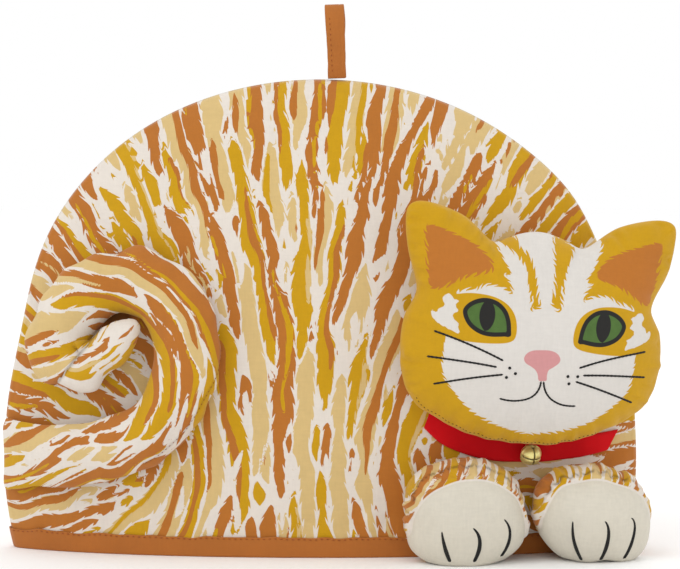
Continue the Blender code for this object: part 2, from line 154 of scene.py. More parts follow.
# Stuffed tail: its middle line from the root in the side seam to the tip, in millimetres
TAIL_COURSE = (
    # across, up, width, thickness, lift off the panel
    (-177.2, 54.4, 41.0, 9.0, 0.0),
    (-155.3, 54.4, 35.5, 15.0, 0.0),
    (-132.6, 56.6, 34.5, 18.0, 0.0),
    (-110.7, 61.7, 34.5, 21.0, 0.0),
    (-93.4, 71.0, 34.5, 22.0, 0.0),
    (-80.5, 85.1, 35.0, 22.0, 0.0),
    (-73.8, 105.0, 37.0, 22.0, 0.0),
    (-75.3, 127.6, 37.5, 22.0, 0.0),
    (-84.0, 145.0, 37.0, 22.0, 0.0),
    (-99.0, 152.3, 36.5, 21.0, 0.0),
    (-115.9, 151.7, 34.5, 21.0, 0.0),
    (-131.6, 142.4, 34.5, 21.0, 0.0),
    (-142.0, 126.5, 37.0, 21.0, 0.5),
    (-142.8, 111.8, 34.5, 21.0, 2.0),
    (-133.5, 104.8, 27.5, 20.0, 4.5),
    (-120.9, 111.4, 22.5, 18.0, 7.5),
    (-110.9, 120.3, 20.0, 15.0, 10.0),
    (-103.6, 127.0, 14.0, 10.0, 11.5),
    (-99.9, 130.4, 4.0, 4.0, 12.0),
)
TAIL_SECTIONS = 96
TAIL_SIDES = 24
TAIL_EDGE = 1.4  # over 1: its two cloths meet at an edge along each side

# Toe caps, in millimetres in the paw's own plane: their upper edges and the claws on them
LEFT_TOE_EDGE = (
    # across, up
    (-34, -12), (-32, -6), (-31, 1.5), (-26.5, 11), (-19.5, 18), (-9, 22.5), (0, 23.5), (9.5, 22.5),
    (17.5, 19), (25.5, 13), (29, 7.5), (31, 1.5), (31.8, -5), (32.5, -12),
)
RIGHT_TOE_EDGE = (
    # across, up
    (-31.5, -12), (-30.8, -5.5), (-30.5, 1.5), (-28, 10.5), (-23, 17.5), (-16, 21), (-8, 22.5),
    (0, 22), (8, 20), (17.5, 16.5), (24, 13), (27.8, 9.5), (31, 3), (33, -6), (33.5, -12),
)
LEFT_CLAWS = (
    # top, middle and bottom, each across and up
    ((-16.5, -4), (-14.5, -13), (-11, -21.5)),
    ((0, -2), (4, -10), (1.5, -21.5)),
    ((17.5, 2), (21, -7), (17, -19.5)),
)
CLAW_THREAD = 0.00125
CLAW_SWELL = ((0, 0.04, 0.3, 0.65, 0.96, 1), (0.1, 0.4, 0.75, 1, 0.85, 0.3))  # along it, thickness
RIGHT_CLAWS = (
    # top, middle and bottom, each across and up
    ((-17, 0.5), (-15, -11.5), (-9, -22.5)),
    ((0, 0.5), (2.5, -7.5), (0.5, -22.5)),
    ((16.5, 1), (18.5, -6.5), (13.5, -22)),
)

# Face, in millimetres: across from its middle line and up from the head's middle. A shape for which
# only one side is given is mirrored.
FACE_MIDDLE = 3.2
FACE_TURN = math.radians(1.3)  # clockwise, more than the head's own roll
EYE = (
    # across, up
    (18.6, 2.2), (18.8, 5), (19.6, 9.9), (21.4, 14.4), (24.1, 17.6), (27.5, 19.8), (31.7, 20.8),
    (35.6, 20.6), (39.6, 19.2), (43, 16.8), (45.1, 13.7), (45, 10.7), (43.4, 7.3), (41, 4.5),
    (37.4, 2.2), (33.3, 0.8), (29, 0.5), (24.9, 0.9), (21.6, 1.4), (19.4, 1.3),
)
EYE_LINE = 2.4
EYE_PATCH = (
    # across, up
    (49.6, 21.1), (43.5, 22.4), (37.5, 22.7), (31.8, 22.3), (27, 21.2), (22.5, 19), (19, 15.7),
    (16.9, 11.8), (15.9, 7.4), (15.8, 3.1), (17, -0.2), (20.5, -2), (26.5, -3), (33.5, -3.5),
    (41.3, -3.5), (47.5, -2.8), (51.7, -1.4), (57, 1.2), (66, 6), (67, 14), (60, 20.5), (54, 20.6),
)
PUPIL_MIDDLE = (32.2, 11.7)
PUPIL_HALF = (4.2, 8.9)
NOSE = (
    # across (left is negative), up
    (-5.7, -4.6), (-1, -3.9), (3.9, -3.7), (7.8, -4.9), (9.8, -7.5), (9.4, -9.9), (6.7, -12.5),
    (4.3, -14.4), (3.7, -17.1), (3.9, -20.1), (1.7, -20.6), (-0.5, -20.6), (-1.3, -17.6),
    (-2.9, -15.1), (-5.5, -13.4), (-8.8, -11.7), (-10.1, -9.2), (-8.8, -6.4),
)
WHITE_MIDDLE = (
    # across, up
    (-12, -51.2), (0, -51.2), (8, -50.3), (17, -48.3), (25, -45.6), (32.5, -42), (39, -37),
    (44.8, -31.2), (49.3, -26.4), (52.4, -20), (53.1, -10), (52.9, -3), (51, 3), (46, 8), (45, 14),
    (47.2, 19), (49.6, 21.3), (46.5, 23.6), (42.8, 24.4), (39, 25), (36.6, 26.6), (33, 28),
    (28.6, 27.8), (24.5, 27), (20.6, 24.8), (19.6, 25.6), (21.4, 30.4), (24.6, 34.2), (21, 34.4),
    (22.4, 38), (24.4, 41), (27, 47), (29.5, 54), (27, 66), (0, 67), (-12, 67),
)
WHITE_CHEEK = (
    # across, up
    (53, 20.8), (56.2, 18.3), (55, 14.2), (58, 11.8), (58.4, 9.8), (61, 11.2), (60.8, 8),
    (57.8, 4.8), (52.4, 2.2), (48.2, 0.7), (46, 0.4), (47, 4.3), (46.3, 5.3), (49.7, 7.8),
    (50.1, 10.6), (47.7, 12.2), (49.2, 15.3), (47.7, 17.6), (50.2, 18.4),
)
LEFT_BROW_STRIPE = (
    # across to the left, up
    (18.5, 54.6), (29.2, 53.9), (23.1, 48.9), (17.5, 44.6), (12.7, 37.9), (11.4, 29.9), (8.9, 22),
    (9.2, 17.3), (3.8, 18.9), (5.3, 23.4), (6.7, 31.4), (8.7, 39.3), (11.5, 45.8), (16.1, 49.5),
)
RIGHT_BROW_STRIPE = (
    # across to the right, up
    (3.5, 56.6), (13.8, 52.1), (10.1, 40.4), (7.9, 29), (7.5, 18.2), (2, 21.7), (3.3, 28.4),
    (3, 39.9),
)
EAR_MIDDLE = 2.0  # how far right of the head's middle line the two ears have theirs
INNER_EAR = (
    # across, up
    (65, 57.5), (50.5, 54.2), (38, 49), (30.6, 42.4), (29.6, 36.6), (43.5, 31.8), (59, 23.5),
    (62.8, 32), (64.4, 44),
)
WHISKERS = (
    # inner end, middle and outer end, each across and up
    ((20.8, -11.8), (40.4, -4.9), (59.3, 0)),
    ((23.7, -15.6), (42.2, -14.5), (61.3, -14.3)),
    ((19.9, -19.2), (37.8, -23.6), (55.9, -29)),
)
WHISKER_DOTS = ((-17.1, -15.3), (-13.6, -18), (-18.1, -20.6), (15.3, -16.8), (20.9, -16.4), (16.5, -20.7))
LEFT_MOUTH = (
    # across (left is negative), up
    (1, -20.6), (0.7, -24.2), (-0.7, -27.7), (-3.3, -30.4), (-6.9, -32.1), (-11.4, -33.1),
    (-16, -33.2), (-20.1, -32.7),
)
RIGHT_MOUTH = (
    # across, up
    (2.3, -20.6), (3.2, -23.9), (4.9, -27.1), (7.7, -29.9), (11.1, -31.7), (14.8, -32.8),
    (19.1, -33.1), (23, -32.9),
)

WHISKER_THREAD = 0.00072
WHISKER_STITCH = 0.0023
MOUTH_THREAD = 0.00068
MOUTH_STITCH = 0.0019

# Rows of stitches: a stitch's length, the gap to the next one and the thread's radius
HEAD_STITCH = (0.0011, 0.0013, 0.00025)
TAIL_STITCH = (0.001, 0.0017, 0.0002)
BINDING_STITCH = (0.0014, 0.0018, 0.00024)
LOOP_STITCH = (0.0012, 0.0017, 0.00022)
STITCH_LIFT = 0.00005

# Collar: the lower edge of a band on the front panel, in millimetres, and the band's width at each point
COLLAR_EDGE = (
    # across, up, width
    (57.5, 71.7, 15),
    (67.1, 62.9, 15),
    (80.9, 56.7, 14.5),
    (95.7, 53.1, 14),
    (110.5, 51.9, 13.5),
    (125.4, 51.8, 13),
    (141.4, 53.0, 12.5),
    (151.5, 54.6, 12),
    (160.4, 56.5, 11.5),
)
COLLAR_END_SLANT = (0.35, 0.55)  # how far the left and the right end lean, across for each unit up
COLLAR_CLOTH = 0.0014
COLLAR_SEED = 81

# Bell
BELL_RADIUS = 0.0058
BELL_ACROSS = 0.1165
BELL_UP = 0.0566
BELL_TILT = (math.radians(-68), 0, math.radians(20))
BELL_RIDGE = 0.0005
BELL_SLOT = 0.00042
BELL_SLOT_DEPTH = 0.0009
BELL_SLOT_END = 0.0008  # the radius of a slot's round end
BELL_EYE_RADIUS = 0.0016
BELL_EYE_WIRE = 0.0006
BELL_EYE_LIFT = 0.0013  # of the ring's middle above the ball
BELL_ROWS, BELL_SIDES = 48, 72
BELL_EYE_ROWS, BELL_EYE_SIDES = 32, 12

# Hanging loop
TAPE_WIDTH = 0.011
TAPE_CLOTH = 0.0018
LOOP_RISE = 0.0412
LOOP_SPREAD = 0.006
LOOP_ACROSS = 0.0095
LOOP_LEAN = math.radians(-2)
LOOP_STITCH_INSET = 0.0024
LOOP_NARROWING = (0.87, 0.98)  # the tape's width at the seam and at the top, against TAPE_WIDTH
LOOP_SEED = 71
LOOP_SECTION = (
    # side of the tape, in from that edge, through the cloth
    (1, 0.0005, 0.0),
    (1, 0.0001, 0.15),
    (1, 0.0, 0.5),
    (1, 0.0001, 0.85),
    (1, 0.0005, 1.0),
    (1, 0.0022, 0.97),
    (1, 0.0027, 0.9),
    (1, 0.0032, 1.0),
    (0, 0.0, 1.0),
    (-1, 0.0005, 1.0),
    (-1, 0.0001, 0.85),
    (-1, 0.0, 0.5),
    (-1, 0.0001, 0.15),
    (-1, 0.0005, 0.0),
)

# Binding's fold
FOLD_CORNER = ((0.00008, 0.0006), (0.0004, 0.00015), (0.001, 0.0))  # in from the side, up
FOLD_LIP = ((0.00012, -0.0001), (0.0005, 0.0), (0.0009, -0.0002))  # in from the side, up from its top

# Print: brown, mustard and beige strokes on white cotton. Millimetres.
BROWN, MUSTARD, BEIGE, WHITE = range(4)
PRINT_FIELDS = ("brown", "mustard", "beige")
COLOUR_SHARES = (0.46, 0.22, 0.32)
TAIL_SHARES = (0.58, 0.22, 0.20)
PAW_SHARES = (0.62, 0.26, 0.12)
PRINT_PROBE = 1.6  # between the places where a new stroke's room is tested
PRINT_SPREAD = 3.4  # how far a stroke spreads into free room on each side
PRINT_GAP = (1.1, 2.6)  # white between neighbouring strokes
PRINT_MEANDER = 0.8  # how far the strokes wander from side to side together
BARB_PITCH = 8.6  # from one barb of a stroke's edge to the next
BARB_DEPTH = 3.4  # of the deepest barbs
PRINT_POINT = 15  # over how many millimetres a stroke narrows to each end
PRINT_THIN = 1.3  # a stroke with less than this on each side of its middle line fades out
PAST_END = 14  # how far past its end a stroke still counts
NEIGHBOUR = 14  # strokes whose middle lines are this near to each other are neighbours
STROKE_SAMPLES = 31
INNER_SPREAD = 0.4  # how much wider than drawn a stroke within another one is
BARB_SLANT = 1.5  # how far along the stroke a barb leans for each millimetre that it stands out
FAN_FOCUS = 85
FAN_MIDDLE = (-12, 54)
BODY_STROKES = (
    # tries, lengths, widths, white kept clear
    (900, (110, 200), (3.0, 5.2), 2.2),
    (1600, (60, 110), (2.8, 4.8), 2.0),
    (2400, (26, 60), (2.2, 3.8), 1.8),
    (1500, (12, 26), (1.4, 2.4), 1.5),
)
TAIL_EYE = (-128.0, 99.0)
TAIL_TURN = 42.0
TAIL_HOLE = (-111.0, 130.0)  # what shows of the panel between the tail's arch and its tip
TAIL_HOLE_RADIUS = 10
TAIL_FOLD = ((-121.3, 125.8), (-144.2, 97.4))  # where the tip folds over
TAIL_FOLD_DEPTH = 0.0022
TAIL_FOLD_START = 0.68  # the share of the course before which nothing is folded over
TAIL_LEAN = 0.45  # how steeply the print rises to the right beside the fold
TAIL_SEED = 57
TAIL_PRINT_SEED = 67
TAIL_PRINT_BOX = ((-185, 28), (-50, 174))
TAIL_SEAM = (
    # across, up
    (-57.5, 139), (-56.4, 133.6), (-54.2, 122.9), (-54.4, 110.3), (-57, 100.3), (-62.4, 90.4),
    (-68.5, 79.5), (-75.2, 70.0), (-87.4, 58.9), (-96.6, 53.2),
)
TAIL_STROKES = (
    # tries, lengths, widths, white kept clear
    (500, (80, 150), (3.0, 5.0), 2.2),
    (800, (36, 70), (2.6, 4.4), 2.0),
    (900, (14, 32), (1.8, 2.8), 1.6),
)
TIP_SEED = 52
TIP_SHARES = (0.5, 0.42, 0.08)
TIP_BARBS = 0.5  # against the body's
TIP_STROKES = (
    # tries, lengths, widths, white kept clear
    (300, (50, 90), (2.6, 3.8), 1.4),
    (500, (16, 30), (1.6, 2.6), 1.4),
)
PRINT_LEAN = 0.6  # how far the paws' print leans to the right for each unit up
PAW_PRINT_SIZE = 0.62  # against the body's print
PAW_PRINT_BOX = ((-90, -52), (90, 62))
SMALL_BARBS = 0.6  # the barbs of the tail and the paws against the body's
PAW_STROKES = (
    # tries, lengths, widths, white kept clear
    (500, (40, 90), (3.0, 4.6), 2.0),
    (700, (16, 36), (2.0, 3.0), 1.6),
)
TOE_EDGE_ROLL = 0.75  # the toe cap's rolled white edge

# Colours as they look under white light (sRGB)
PRINT_WHITE = (0.866, 0.832, 0.792)
FACE_WHITE = (0.838, 0.818, 0.792)
PRINT_BROWN = (0.712, 0.433, 0.157)
PRINT_MUSTARD = (0.785, 0.597, 0.03)
PRINT_BEIGE = (0.837, 0.722, 0.489)
PLAIN_BROWN = (0.705, 0.42, 0.172)
LINING_CREAM = (0.90, 0.87, 0.81)
RIBBON_RED = (0.86, 0.005, 0.07)
THREAD_DARK = (0.23, 0.14, 0.07)
THREAD_RUST = (0.46, 0.22, 0.08)
THREAD_BLACK = (0.075, 0.072, 0.07)
TOE_CREAM = (0.84, 0.814, 0.753)
EYE_GREEN = (0.33, 0.46, 0.218)
EYE_BLACK = (0.138, 0.134, 0.126)
NOSE_PINK = (0.80, 0.565, 0.565)
BRASS_PALE = (0.98, 0.95, 0.66)
BRASS_DEEP = (0.93, 0.86, 0.52)
# painted shade: the dark of the bell's hollow, seen through its slots
BELL_SLOT_SHADE = (0.24, 0.17, 0.07)

panel_low, panel_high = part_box("front_panel")
MIDDLE = np.array(((panel_low.x + panel_high.x) / 2, panel_high.y + GAP / 2, 0.0))


# Small tools


def linear(colour):
    """An sRGB colour as the linear RGBA that shaders take."""
    return tuple(c / 12.92 if c <= 0.04045 else ((c + 0.055) / 1.055) ** 2.4 for c in colour) + (1,)


def through(table, samples, closed):
    """Points on a smooth curve (Catmull-Rom) through the rows of a table."""
    rows = np.array(table, float)
    count = len(rows)
    spans = count if closed else count - 1
    place = np.arange(samples) * spans / (samples if closed else samples - 1)
    first = np.minimum(place.astype(int), spans - 1)
    f = (place - first)[:, None]
    picks = [first + k for k in (-1, 0, 1, 2)]
    if closed:
        a, b, c, d = (rows[pick % count] for pick in picks)
    else:
        a, b, c, d = (rows[np.clip(pick, 0, count - 1)] for pick in picks)
    bend = (2 * a - 5 * b + 4 * c - d) * f**2 + (3 * b - a - 3 * c + d) * f**3
    return 0.5 * (2 * b + (c - a) * f + bend)


def lengths_along(points):
    steps = np.linalg.norm(np.diff(points, axis=0), axis=1)
    return np.concatenate([[0], np.cumsum(steps)])


def evenly(points, samples, closed):
    """The same line with evenly spaced points."""
    line = np.vstack([points, points[:1]]) if closed else points
    along = lengths_along(line)
    even = np.linspace(0, along[-1], samples + 1 if closed else samples)[:samples]
    return np.stack([np.interp(even, along, line[:, k]) for k in range(line.shape[1])], axis=1)


def smooth_step(value, start, end):
    share = np.clip((value - start) / (end - start), 0, 1)
    return share * share * (3 - 2 * share)


def unit(vectors):
    """Each row's vector at length 1."""
    return vectors / np.linalg.norm(vectors, axis=1)[:, None]


def hump(value, middle, spread, power=2):
    """1 where the value is at the middle, fading away on both sides."""
    return np.exp(-((np.abs(value - middle) / spread) ** power))


def ripples(seed, shortest, longest, count=12):
    """A gentle, repeatable unevenness: waves in all directions, of the given lengths."""
    rng = np.random.default_rng(seed)
    turn = rng.uniform(0, math.pi, count)
    pitch = 2 * math.pi / rng.uniform(shortest, longest, count)
    phase = rng.uniform(0, 2 * math.pi, count)

    def height(x, z):
        total = np.zeros_like(x)
        for t, p, start in zip(turn, pitch, phase):
            total += np.sin((x * math.cos(t) + z * math.sin(t)) * p + start)
        return total / math.sqrt(count / 2)

    return height


def waves(seed, shortest, longest, count, along):
    """The same unevenness along a line."""
    return ripples(seed, shortest, longest, count)(along, np.zeros_like(along))


def quads(rows, columns, wrap_rows=False, wrap_columns=False):
    """Faces of a grid of vertices that is stored row by row."""
    r = np.arange(rows if wrap_rows else rows - 1)
    c = np.arange(columns if wrap_columns else columns - 1)
    r, c = (a.ravel() for a in np.meshgrid(r, c, indexing="ij"))
    after, beyond = (r + 1) % rows, (c + 1) % columns
    corners = (r * columns + c, r * columns + beyond, after * columns + beyond, after * columns + c)
    return np.stack(corners, axis=1).tolist()


def tube_faces(rows, sides):
    """Faces of a row of rings whose points are followed by a pole for the first and one for the last."""
    faces = quads(rows, sides, wrap_columns=True)
    first, last = rows * sides, rows * sides + 1
    for s in range(sides):
        after = (s + 1) % sides
        faces.append((first, after, s))
        faces.append((last, (rows - 1) * sides + s, (rows - 1) * sides + after))
    return faces


def band_faces(rows, columns):
    """Faces of a closed section, a point a row, that is carried along a line and capped at both ends."""
    faces = quads(rows, columns, wrap_rows=True)
    faces.append(tuple(r * columns for r in range(rows)))
    faces.append(tuple(r * columns + columns - 1 for r in reversed(range(rows))))
    return faces


def mesh_from(name, points, faces):
    mesh = bpy.data.meshes.new(name)
    mesh.from_pydata(np.asarray(points, float).tolist(), [], faces)
    return mesh


def point_array(mesh):
    flat = np.empty(len(mesh.vertices) * 3)
    mesh.vertices.foreach_get("co", flat)
    return flat.reshape(-1, 3)


def normal_array(mesh):
    flat = np.empty(len(mesh.vertices) * 3)
    mesh.vertex_normals.foreach_get("vector", flat)
    return flat.reshape(-1, 3)


def put_points(mesh, points):
    mesh.vertices.foreach_set("co", np.ascontiguousarray(points).ravel())
    mesh.update()


def turn_outwards(mesh):
    """Flips every face if the closed mesh encloses a negative volume."""
    mesh.calc_loop_triangles()
    corners = np.empty(len(mesh.loop_triangles) * 3, dtype=np.int32)
    mesh.loop_triangles.foreach_get("vertices", corners)
    a, b, c = (point_array(mesh)[corners.reshape(-1, 3)[:, k]] for k in range(3))
    if np.einsum("ij,ij->i", a, np.cross(b, c)).sum() < 0:
        mesh.flip_normals()


def add_piece(mesh, materials, replaced=()):
    """Links a mesh modelled about MIDDLE as a finished piece that rides on the cosy."""
    put_points(mesh, point_array(mesh) + MIDDLE)
    turn_outwards(mesh)
    mesh.shade_smooth()
    for material in materials:
        mesh.materials.append(material)
    piece = bpy.data.objects.new(mesh.name, mesh)
    bpy.context.scene.collection.objects.link(piece)
    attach(piece, "root")
    if replaced:
        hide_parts(*replaced)
    return piece


def placed(points, place):
    """Points of a piece's own space, brought to where its matrix puts them."""
    return points @ np.array(place.to_3x3()).T + np.array(place.translation)


def edge_ends(mesh):
    ends = np.empty(len(mesh.edges) * 2, dtype=np.int32)
    mesh.edges.foreach_get("vertices", ends)
    return ends.reshape(-1, 2)


def keep_crisp(mesh, chosen, amount):
    """Creases the chosen edges for the subdivision."""
    crease_and_shade = mesh.attributes.new("crease_edge", "FLOAT", "EDGE")
    crease_and_shade.data.foreach_set("value", chosen.astype(np.float32) * amount)


def subdivided(mesh, levels):
    """The mesh after Catmull-Clark subdivision."""
    carrier = bpy.data.objects.new(mesh.name, mesh)
    bpy.context.scene.collection.objects.link(carrier)
    rounding = carrier.modifiers.new("rounding", "SUBSURF")
    rounding.levels = rounding.render_levels = levels
    graph = bpy.context.evaluated_depsgraph_get()
    finer = bpy.data.meshes.new_from_object(carrier.evaluated_get(graph))
    name = mesh.name
    bpy.data.objects.remove(carrier)
    bpy.data.meshes.remove(mesh)
    finer.name = name
    return finer


def set_field(mesh, name, values):
    layer = mesh.attributes.get(name) or mesh.attributes.new(name, "FLOAT", "POINT")
    layer.data.foreach_set("value", np.ascontiguousarray(values, dtype=np.float32))


def get_field(mesh, name):
    values = np.empty(len(mesh.vertices), dtype=np.float32)
    mesh.attributes[name].data.foreach_get("value", values)
    return values.astype(float)


def outline_fields(x, z, loop):
    """Distance to a closed line (positive inside) and how far round it the nearest point is."""
    starts, ends = loop, np.roll(loop, -1, axis=0)
    around = lengths_along(np.vstack([loop, loop[:1]]))
    best = np.full(len(x), np.inf)
    place = np.zeros(len(x))
    inside = np.zeros(len(x), bool)
    for (ax, az), (bx, bz), start in zip(starts, ends, around):
        ex, ez = bx - ax, bz - az
        length = ex * ex + ez * ez
        share = np.clip(((x - ax) * ex + (z - az) * ez) / length, 0, 1)
        gap = (x - ax - share * ex) ** 2 + (z - az - share * ez) ** 2
        closer = gap < best
        best[closer] = gap[closer]
        place[closer] = start + share[closer] * math.sqrt(length)
        if az != bz:
            crosses = ((az > z) != (bz > z)) & (x < ax + (z - az) * ex / ez)
            inside ^= crosses
    distance = np.sqrt(best)
    return np.where(inside, distance, -distance), place


def thread_points(line, radii, sides=8, flat=1.0):
    """A tube of round (or flattened) section along a line, closed at both ends by a point."""
    ahead = unit(np.gradient(line, axis=0))
    beside = unit(np.cross(ahead, (0.0, -1.0, 0.0)))
    up = np.cross(beside, ahead)
    turn = (np.arange(sides) * 2 * math.pi / sides)[None, :, None]
    section = np.cos(turn) * beside[:, None] + flat * np.sin(turn) * up[:, None]
    rings = line[:, None] + radii[:, None, None] * section
    points = np.concatenate([rings.reshape(-1, 3), line[:1], line[-1:]])
    return points, tube_faces(len(line), sides)


def join_parts(name, parts):
    """One mesh of several (points, faces) parts."""
    points, faces = [], []
    start = 0
    for part_points, part_faces in parts:
        points.append(part_points)
        faces += [tuple(i + start for i in face) for face in part_faces]
        start += len(part_points)
    return mesh_from(name, np.concatenate(points), faces)


# The dome


def tuck(z):
    below = np.maximum(0, 1 - np.maximum(z, 0) / TUCK_HEIGHT)
    return 1 - HEM_TUCK * below**2


def half_width(z):
    share = np.clip(z / HEIGHT, 0, 1)
    return HALF_WIDTH * np.sqrt(1 - share**CROWN_POWER) * tuck(z)


def lopsided(x, z):
    """The sewn cosy's own unevenness: its left side is drawn in a little, its right shoulder is full."""
    left = -LEFT_DRAWN_IN * hump(z, 0.125, 0.038) * (x < 0)
    right = RIGHT_FULLNESS * hump(z, 0.203, 0.022) * (x > 0)
    return x * (1 + left + right)


def depth(x, z):
    """How far the frame's panel stands from the plane of the seam."""
    width = np.maximum(half_width(z), MM)
    across = np.maximum(0, 1 - (x / width) ** 2)
    up = np.maximum(0, 1 - (np.maximum(z, 0) / HEIGHT) ** 2)
    return SEAM_HALF + BULGE * across**SIDE_FULLNESS * up**CROWN_FULLNESS


# Print


class Fan:
    """Strokes that pass between two points of the dome and spread above and below. Millimetres."""

    focus, middle = FAN_FOCUS, FAN_MIDDLE

    def flow(self, x, z):
        """How far round the fan a point is, and how far above or below the two points."""
        x, z = x - self.middle[0], z - self.middle[1]
        w = np.arccosh((x + 1j * z) / self.focus)
        return np.abs(w.imag), self.focus * np.sinh(w.real) * np.where(z < 0, -1, 1)

    def place(self, c, s):
        x = np.sqrt(self.focus**2 + s**2) * np.cos(c) + self.middle[0]
        return x, s * np.sin(c) + self.middle[1]

    def scale(self, c, s):
        """Millimetres across for a unit round the fan."""
        return np.sqrt(s**2 + (self.focus * np.sin(c)) ** 2) + 0.1


class Hook:
    """Strokes that come in from the left, turn down round a point and run back. Millimetres."""

    eye, radius = TAIL_EYE, TAIL_TURN

    def flow(self, x, z):
        x, z = x - self.eye[0], z - self.eye[1]
        away = np.where(x > 0, np.hypot(x, z), np.abs(z))
        before_or_after = np.where(z > 0, x, math.pi * self.radius - x)
        return away, np.where(x > 0, np.arctan2(x, z) * self.radius, before_or_after)

    def place(self, c, s):
        turned = np.clip(s / self.radius, 0, math.pi)
        left = np.maximum(-s, s - math.pi * self.radius).clip(0)
        return self.eye[0] + c * np.sin(turned) - left, self.eye[1] + c * np.cos(turned)

    def scale(self, c, s):
        return np.ones_like(c)


class Straight:
    """Strokes that run straight up a cloth. Millimetres."""

    def flow(self, x, z):
        return x, z

    def place(self, c, s):
        return c, s

    def scale(self, c, s):
        return np.ones_like(c)


def stroke_inside(stroke, c, s, scale):
    """How far points are inside a stroke, and on which side of its middle line."""
    t = (s - stroke["s"]) / stroke["half_length"]
    side = (c - stroke["c"]) * scale - stroke_sway(stroke, t)
    to_end = (1 - np.abs(t)) * stroke["half_length"]
    point = PRINT_SPREAD * np.clip(1 - to_end / PRINT_POINT, 0, 1) + np.clip(-to_end, 0, None)
    return stroke_width(stroke, t) - np.abs(side) - point, side


def stroke_sway(stroke, t):
    return stroke["sway"] * np.sin(stroke["bends"] * t + stroke["phase"]) + stroke["aside"]


def stroke_width(stroke, t):
    blunt = np.where(t < 0, stroke["blunt_below"], stroke["blunt_above"])
    swell = 1 + 0.25 * np.sin(6 * t + stroke["phase"])
    return stroke["half_width"] * swell * np.clip(1 - np.abs(t) ** blunt, 0, 1) ** 0.8


def draw_stroke(rng, c, s, length, width):
    half_length = rng.uniform(*length) / 2
    half_width = rng.uniform(*width) / 2
    return dict(
        c=c,
        s=s,
        half_length=half_length,
        half_width=half_width,
        sway=rng.uniform(-0.05, 0.05) * half_length,
        bends=rng.uniform(1.8, 4.0),
        phase=rng.uniform(0, 2 * math.pi),
        aside=0.0,
        blunt_below=rng.uniform(1.1, 2.2),
        blunt_above=rng.uniform(1.3, 3.6),
        gap=rng.uniform(*PRINT_GAP),
        barb_phase=rng.uniform(),
        reach=min(rng.uniform(0.35, 1.0) * BARB_DEPTH, 1.2 + 0.8 * half_width),
    )


def lay_strokes(rng, chart, low, high, sizes):
    """Strokes at random places of a cloth, long ones first, each kept clear of the others."""
    across = np.arange(low[0], high[0], PRINT_PROBE)
    up = np.arange(low[1], high[1], PRINT_PROBE)
    probe_x, probe_z = np.meshgrid(across, up, indexing="ij")
    probe_c, probe_s = chart.flow(probe_x, probe_z)
    probe_scale = chart.scale(probe_c, probe_s)
    taken = np.full(probe_x.shape, -FAR)
    t = np.linspace(-1, 1, STROKE_SAMPLES)
    strokes = []
    for tries, length, width, clear in sizes:
        for _ in range(tries):
            at_x, at_z = rng.uniform(low[0], high[0]), rng.uniform(low[1], high[1])
            c, s = chart.flow(np.array(at_x), np.array(at_z))
            stroke = draw_stroke(rng, float(c), float(s), length, width)
            line_s = stroke["s"] + t * stroke["half_length"]
            line_c = np.full(STROKE_SAMPLES, stroke["c"])
            line_c += stroke_sway(stroke, t) / chart.scale(line_c, line_s)
            x, z = chart.place(line_c, line_s)
            i = ((x - low[0]) / PRINT_PROBE + 0.5).astype(int)
            k = ((z - low[1]) / PRINT_PROBE + 0.5).astype(int)
            seen = (i >= 0) & (i < len(across)) & (k >= 0) & (k < len(up))
            if not seen.any() or (taken[i[seen], k[seen]] + stroke_width(stroke, t[seen]) > -clear).any():
                continue
            strokes.append(stroke)
            taken = np.maximum(taken, stroke_inside(stroke, probe_c, probe_s, probe_scale)[0])
    return strokes


def give_colours(rng, chart, strokes, shares):
    """Colours each stroke, seldom like one beside it."""
    for i, stroke in enumerate(strokes):
        chances = np.array(shares)
        scale = float(chart.scale(np.array(stroke["c"]), np.array(stroke["s"])))
        for other in strokes[:i]:
            beside = abs(other["c"] - stroke["c"]) * scale < NEIGHBOUR
            shared = stroke["half_length"] + other["half_length"] - abs(other["s"] - stroke["s"])
            if beside and shared > 0.3 * min(stroke["half_length"], other["half_length"]):
                chances[other["colour"]] *= 0.1
        stroke["colour"] = int(rng.choice(3, p=chances / chances.sum()))


def inner_strokes(rng, strokes):
    """Strokes of another colour, and thin white ones, within some of the strokes.

    The firmer a stroke, the smaller the barbs of its edge.
    """
    others = {BROWN: (MUSTARD, BEIGE), MUSTARD: (BROWN, BEIGE), BEIGE: (BROWN, MUSTARD)}
    made = []
    for i, stroke in enumerate(strokes):
        if rng.uniform() < 0.75 and stroke["half_width"] > 1.4:
            likely, seldom = others[stroke["colour"]]
            room = stroke["half_width"] + 1.2
            half_width = room * rng.uniform(0.3, 0.55)
            inner = dict(
                stroke,
                within=i,
                s=stroke["s"] + rng.uniform(-0.35, 0.35) * stroke["half_length"],
                half_length=stroke["half_length"] * rng.uniform(0.6, 1.0),
                half_width=half_width,
                aside=rng.choice((-1, 1)) * (room - half_width * rng.uniform(0.2, 1.3)),
                colour=likely if rng.uniform() < 0.75 else seldom,
                firm=3.0,
            )
            made.append(inner)
        if rng.uniform() < 0.55:
            sliver = dict(
                stroke,
                within=i,
                s=stroke["s"] + rng.choice((-1, 1)) * rng.uniform(0.5, 1.0) * stroke["half_length"],
                half_length=rng.uniform(18, 34),
                half_width=rng.uniform(1.2, 2.0),
                aside=rng.uniform(-0.5, 0.5) * stroke["half_width"],
                colour=WHITE,
                firm=1.6,
            )
            made.append(sliver)
    return made


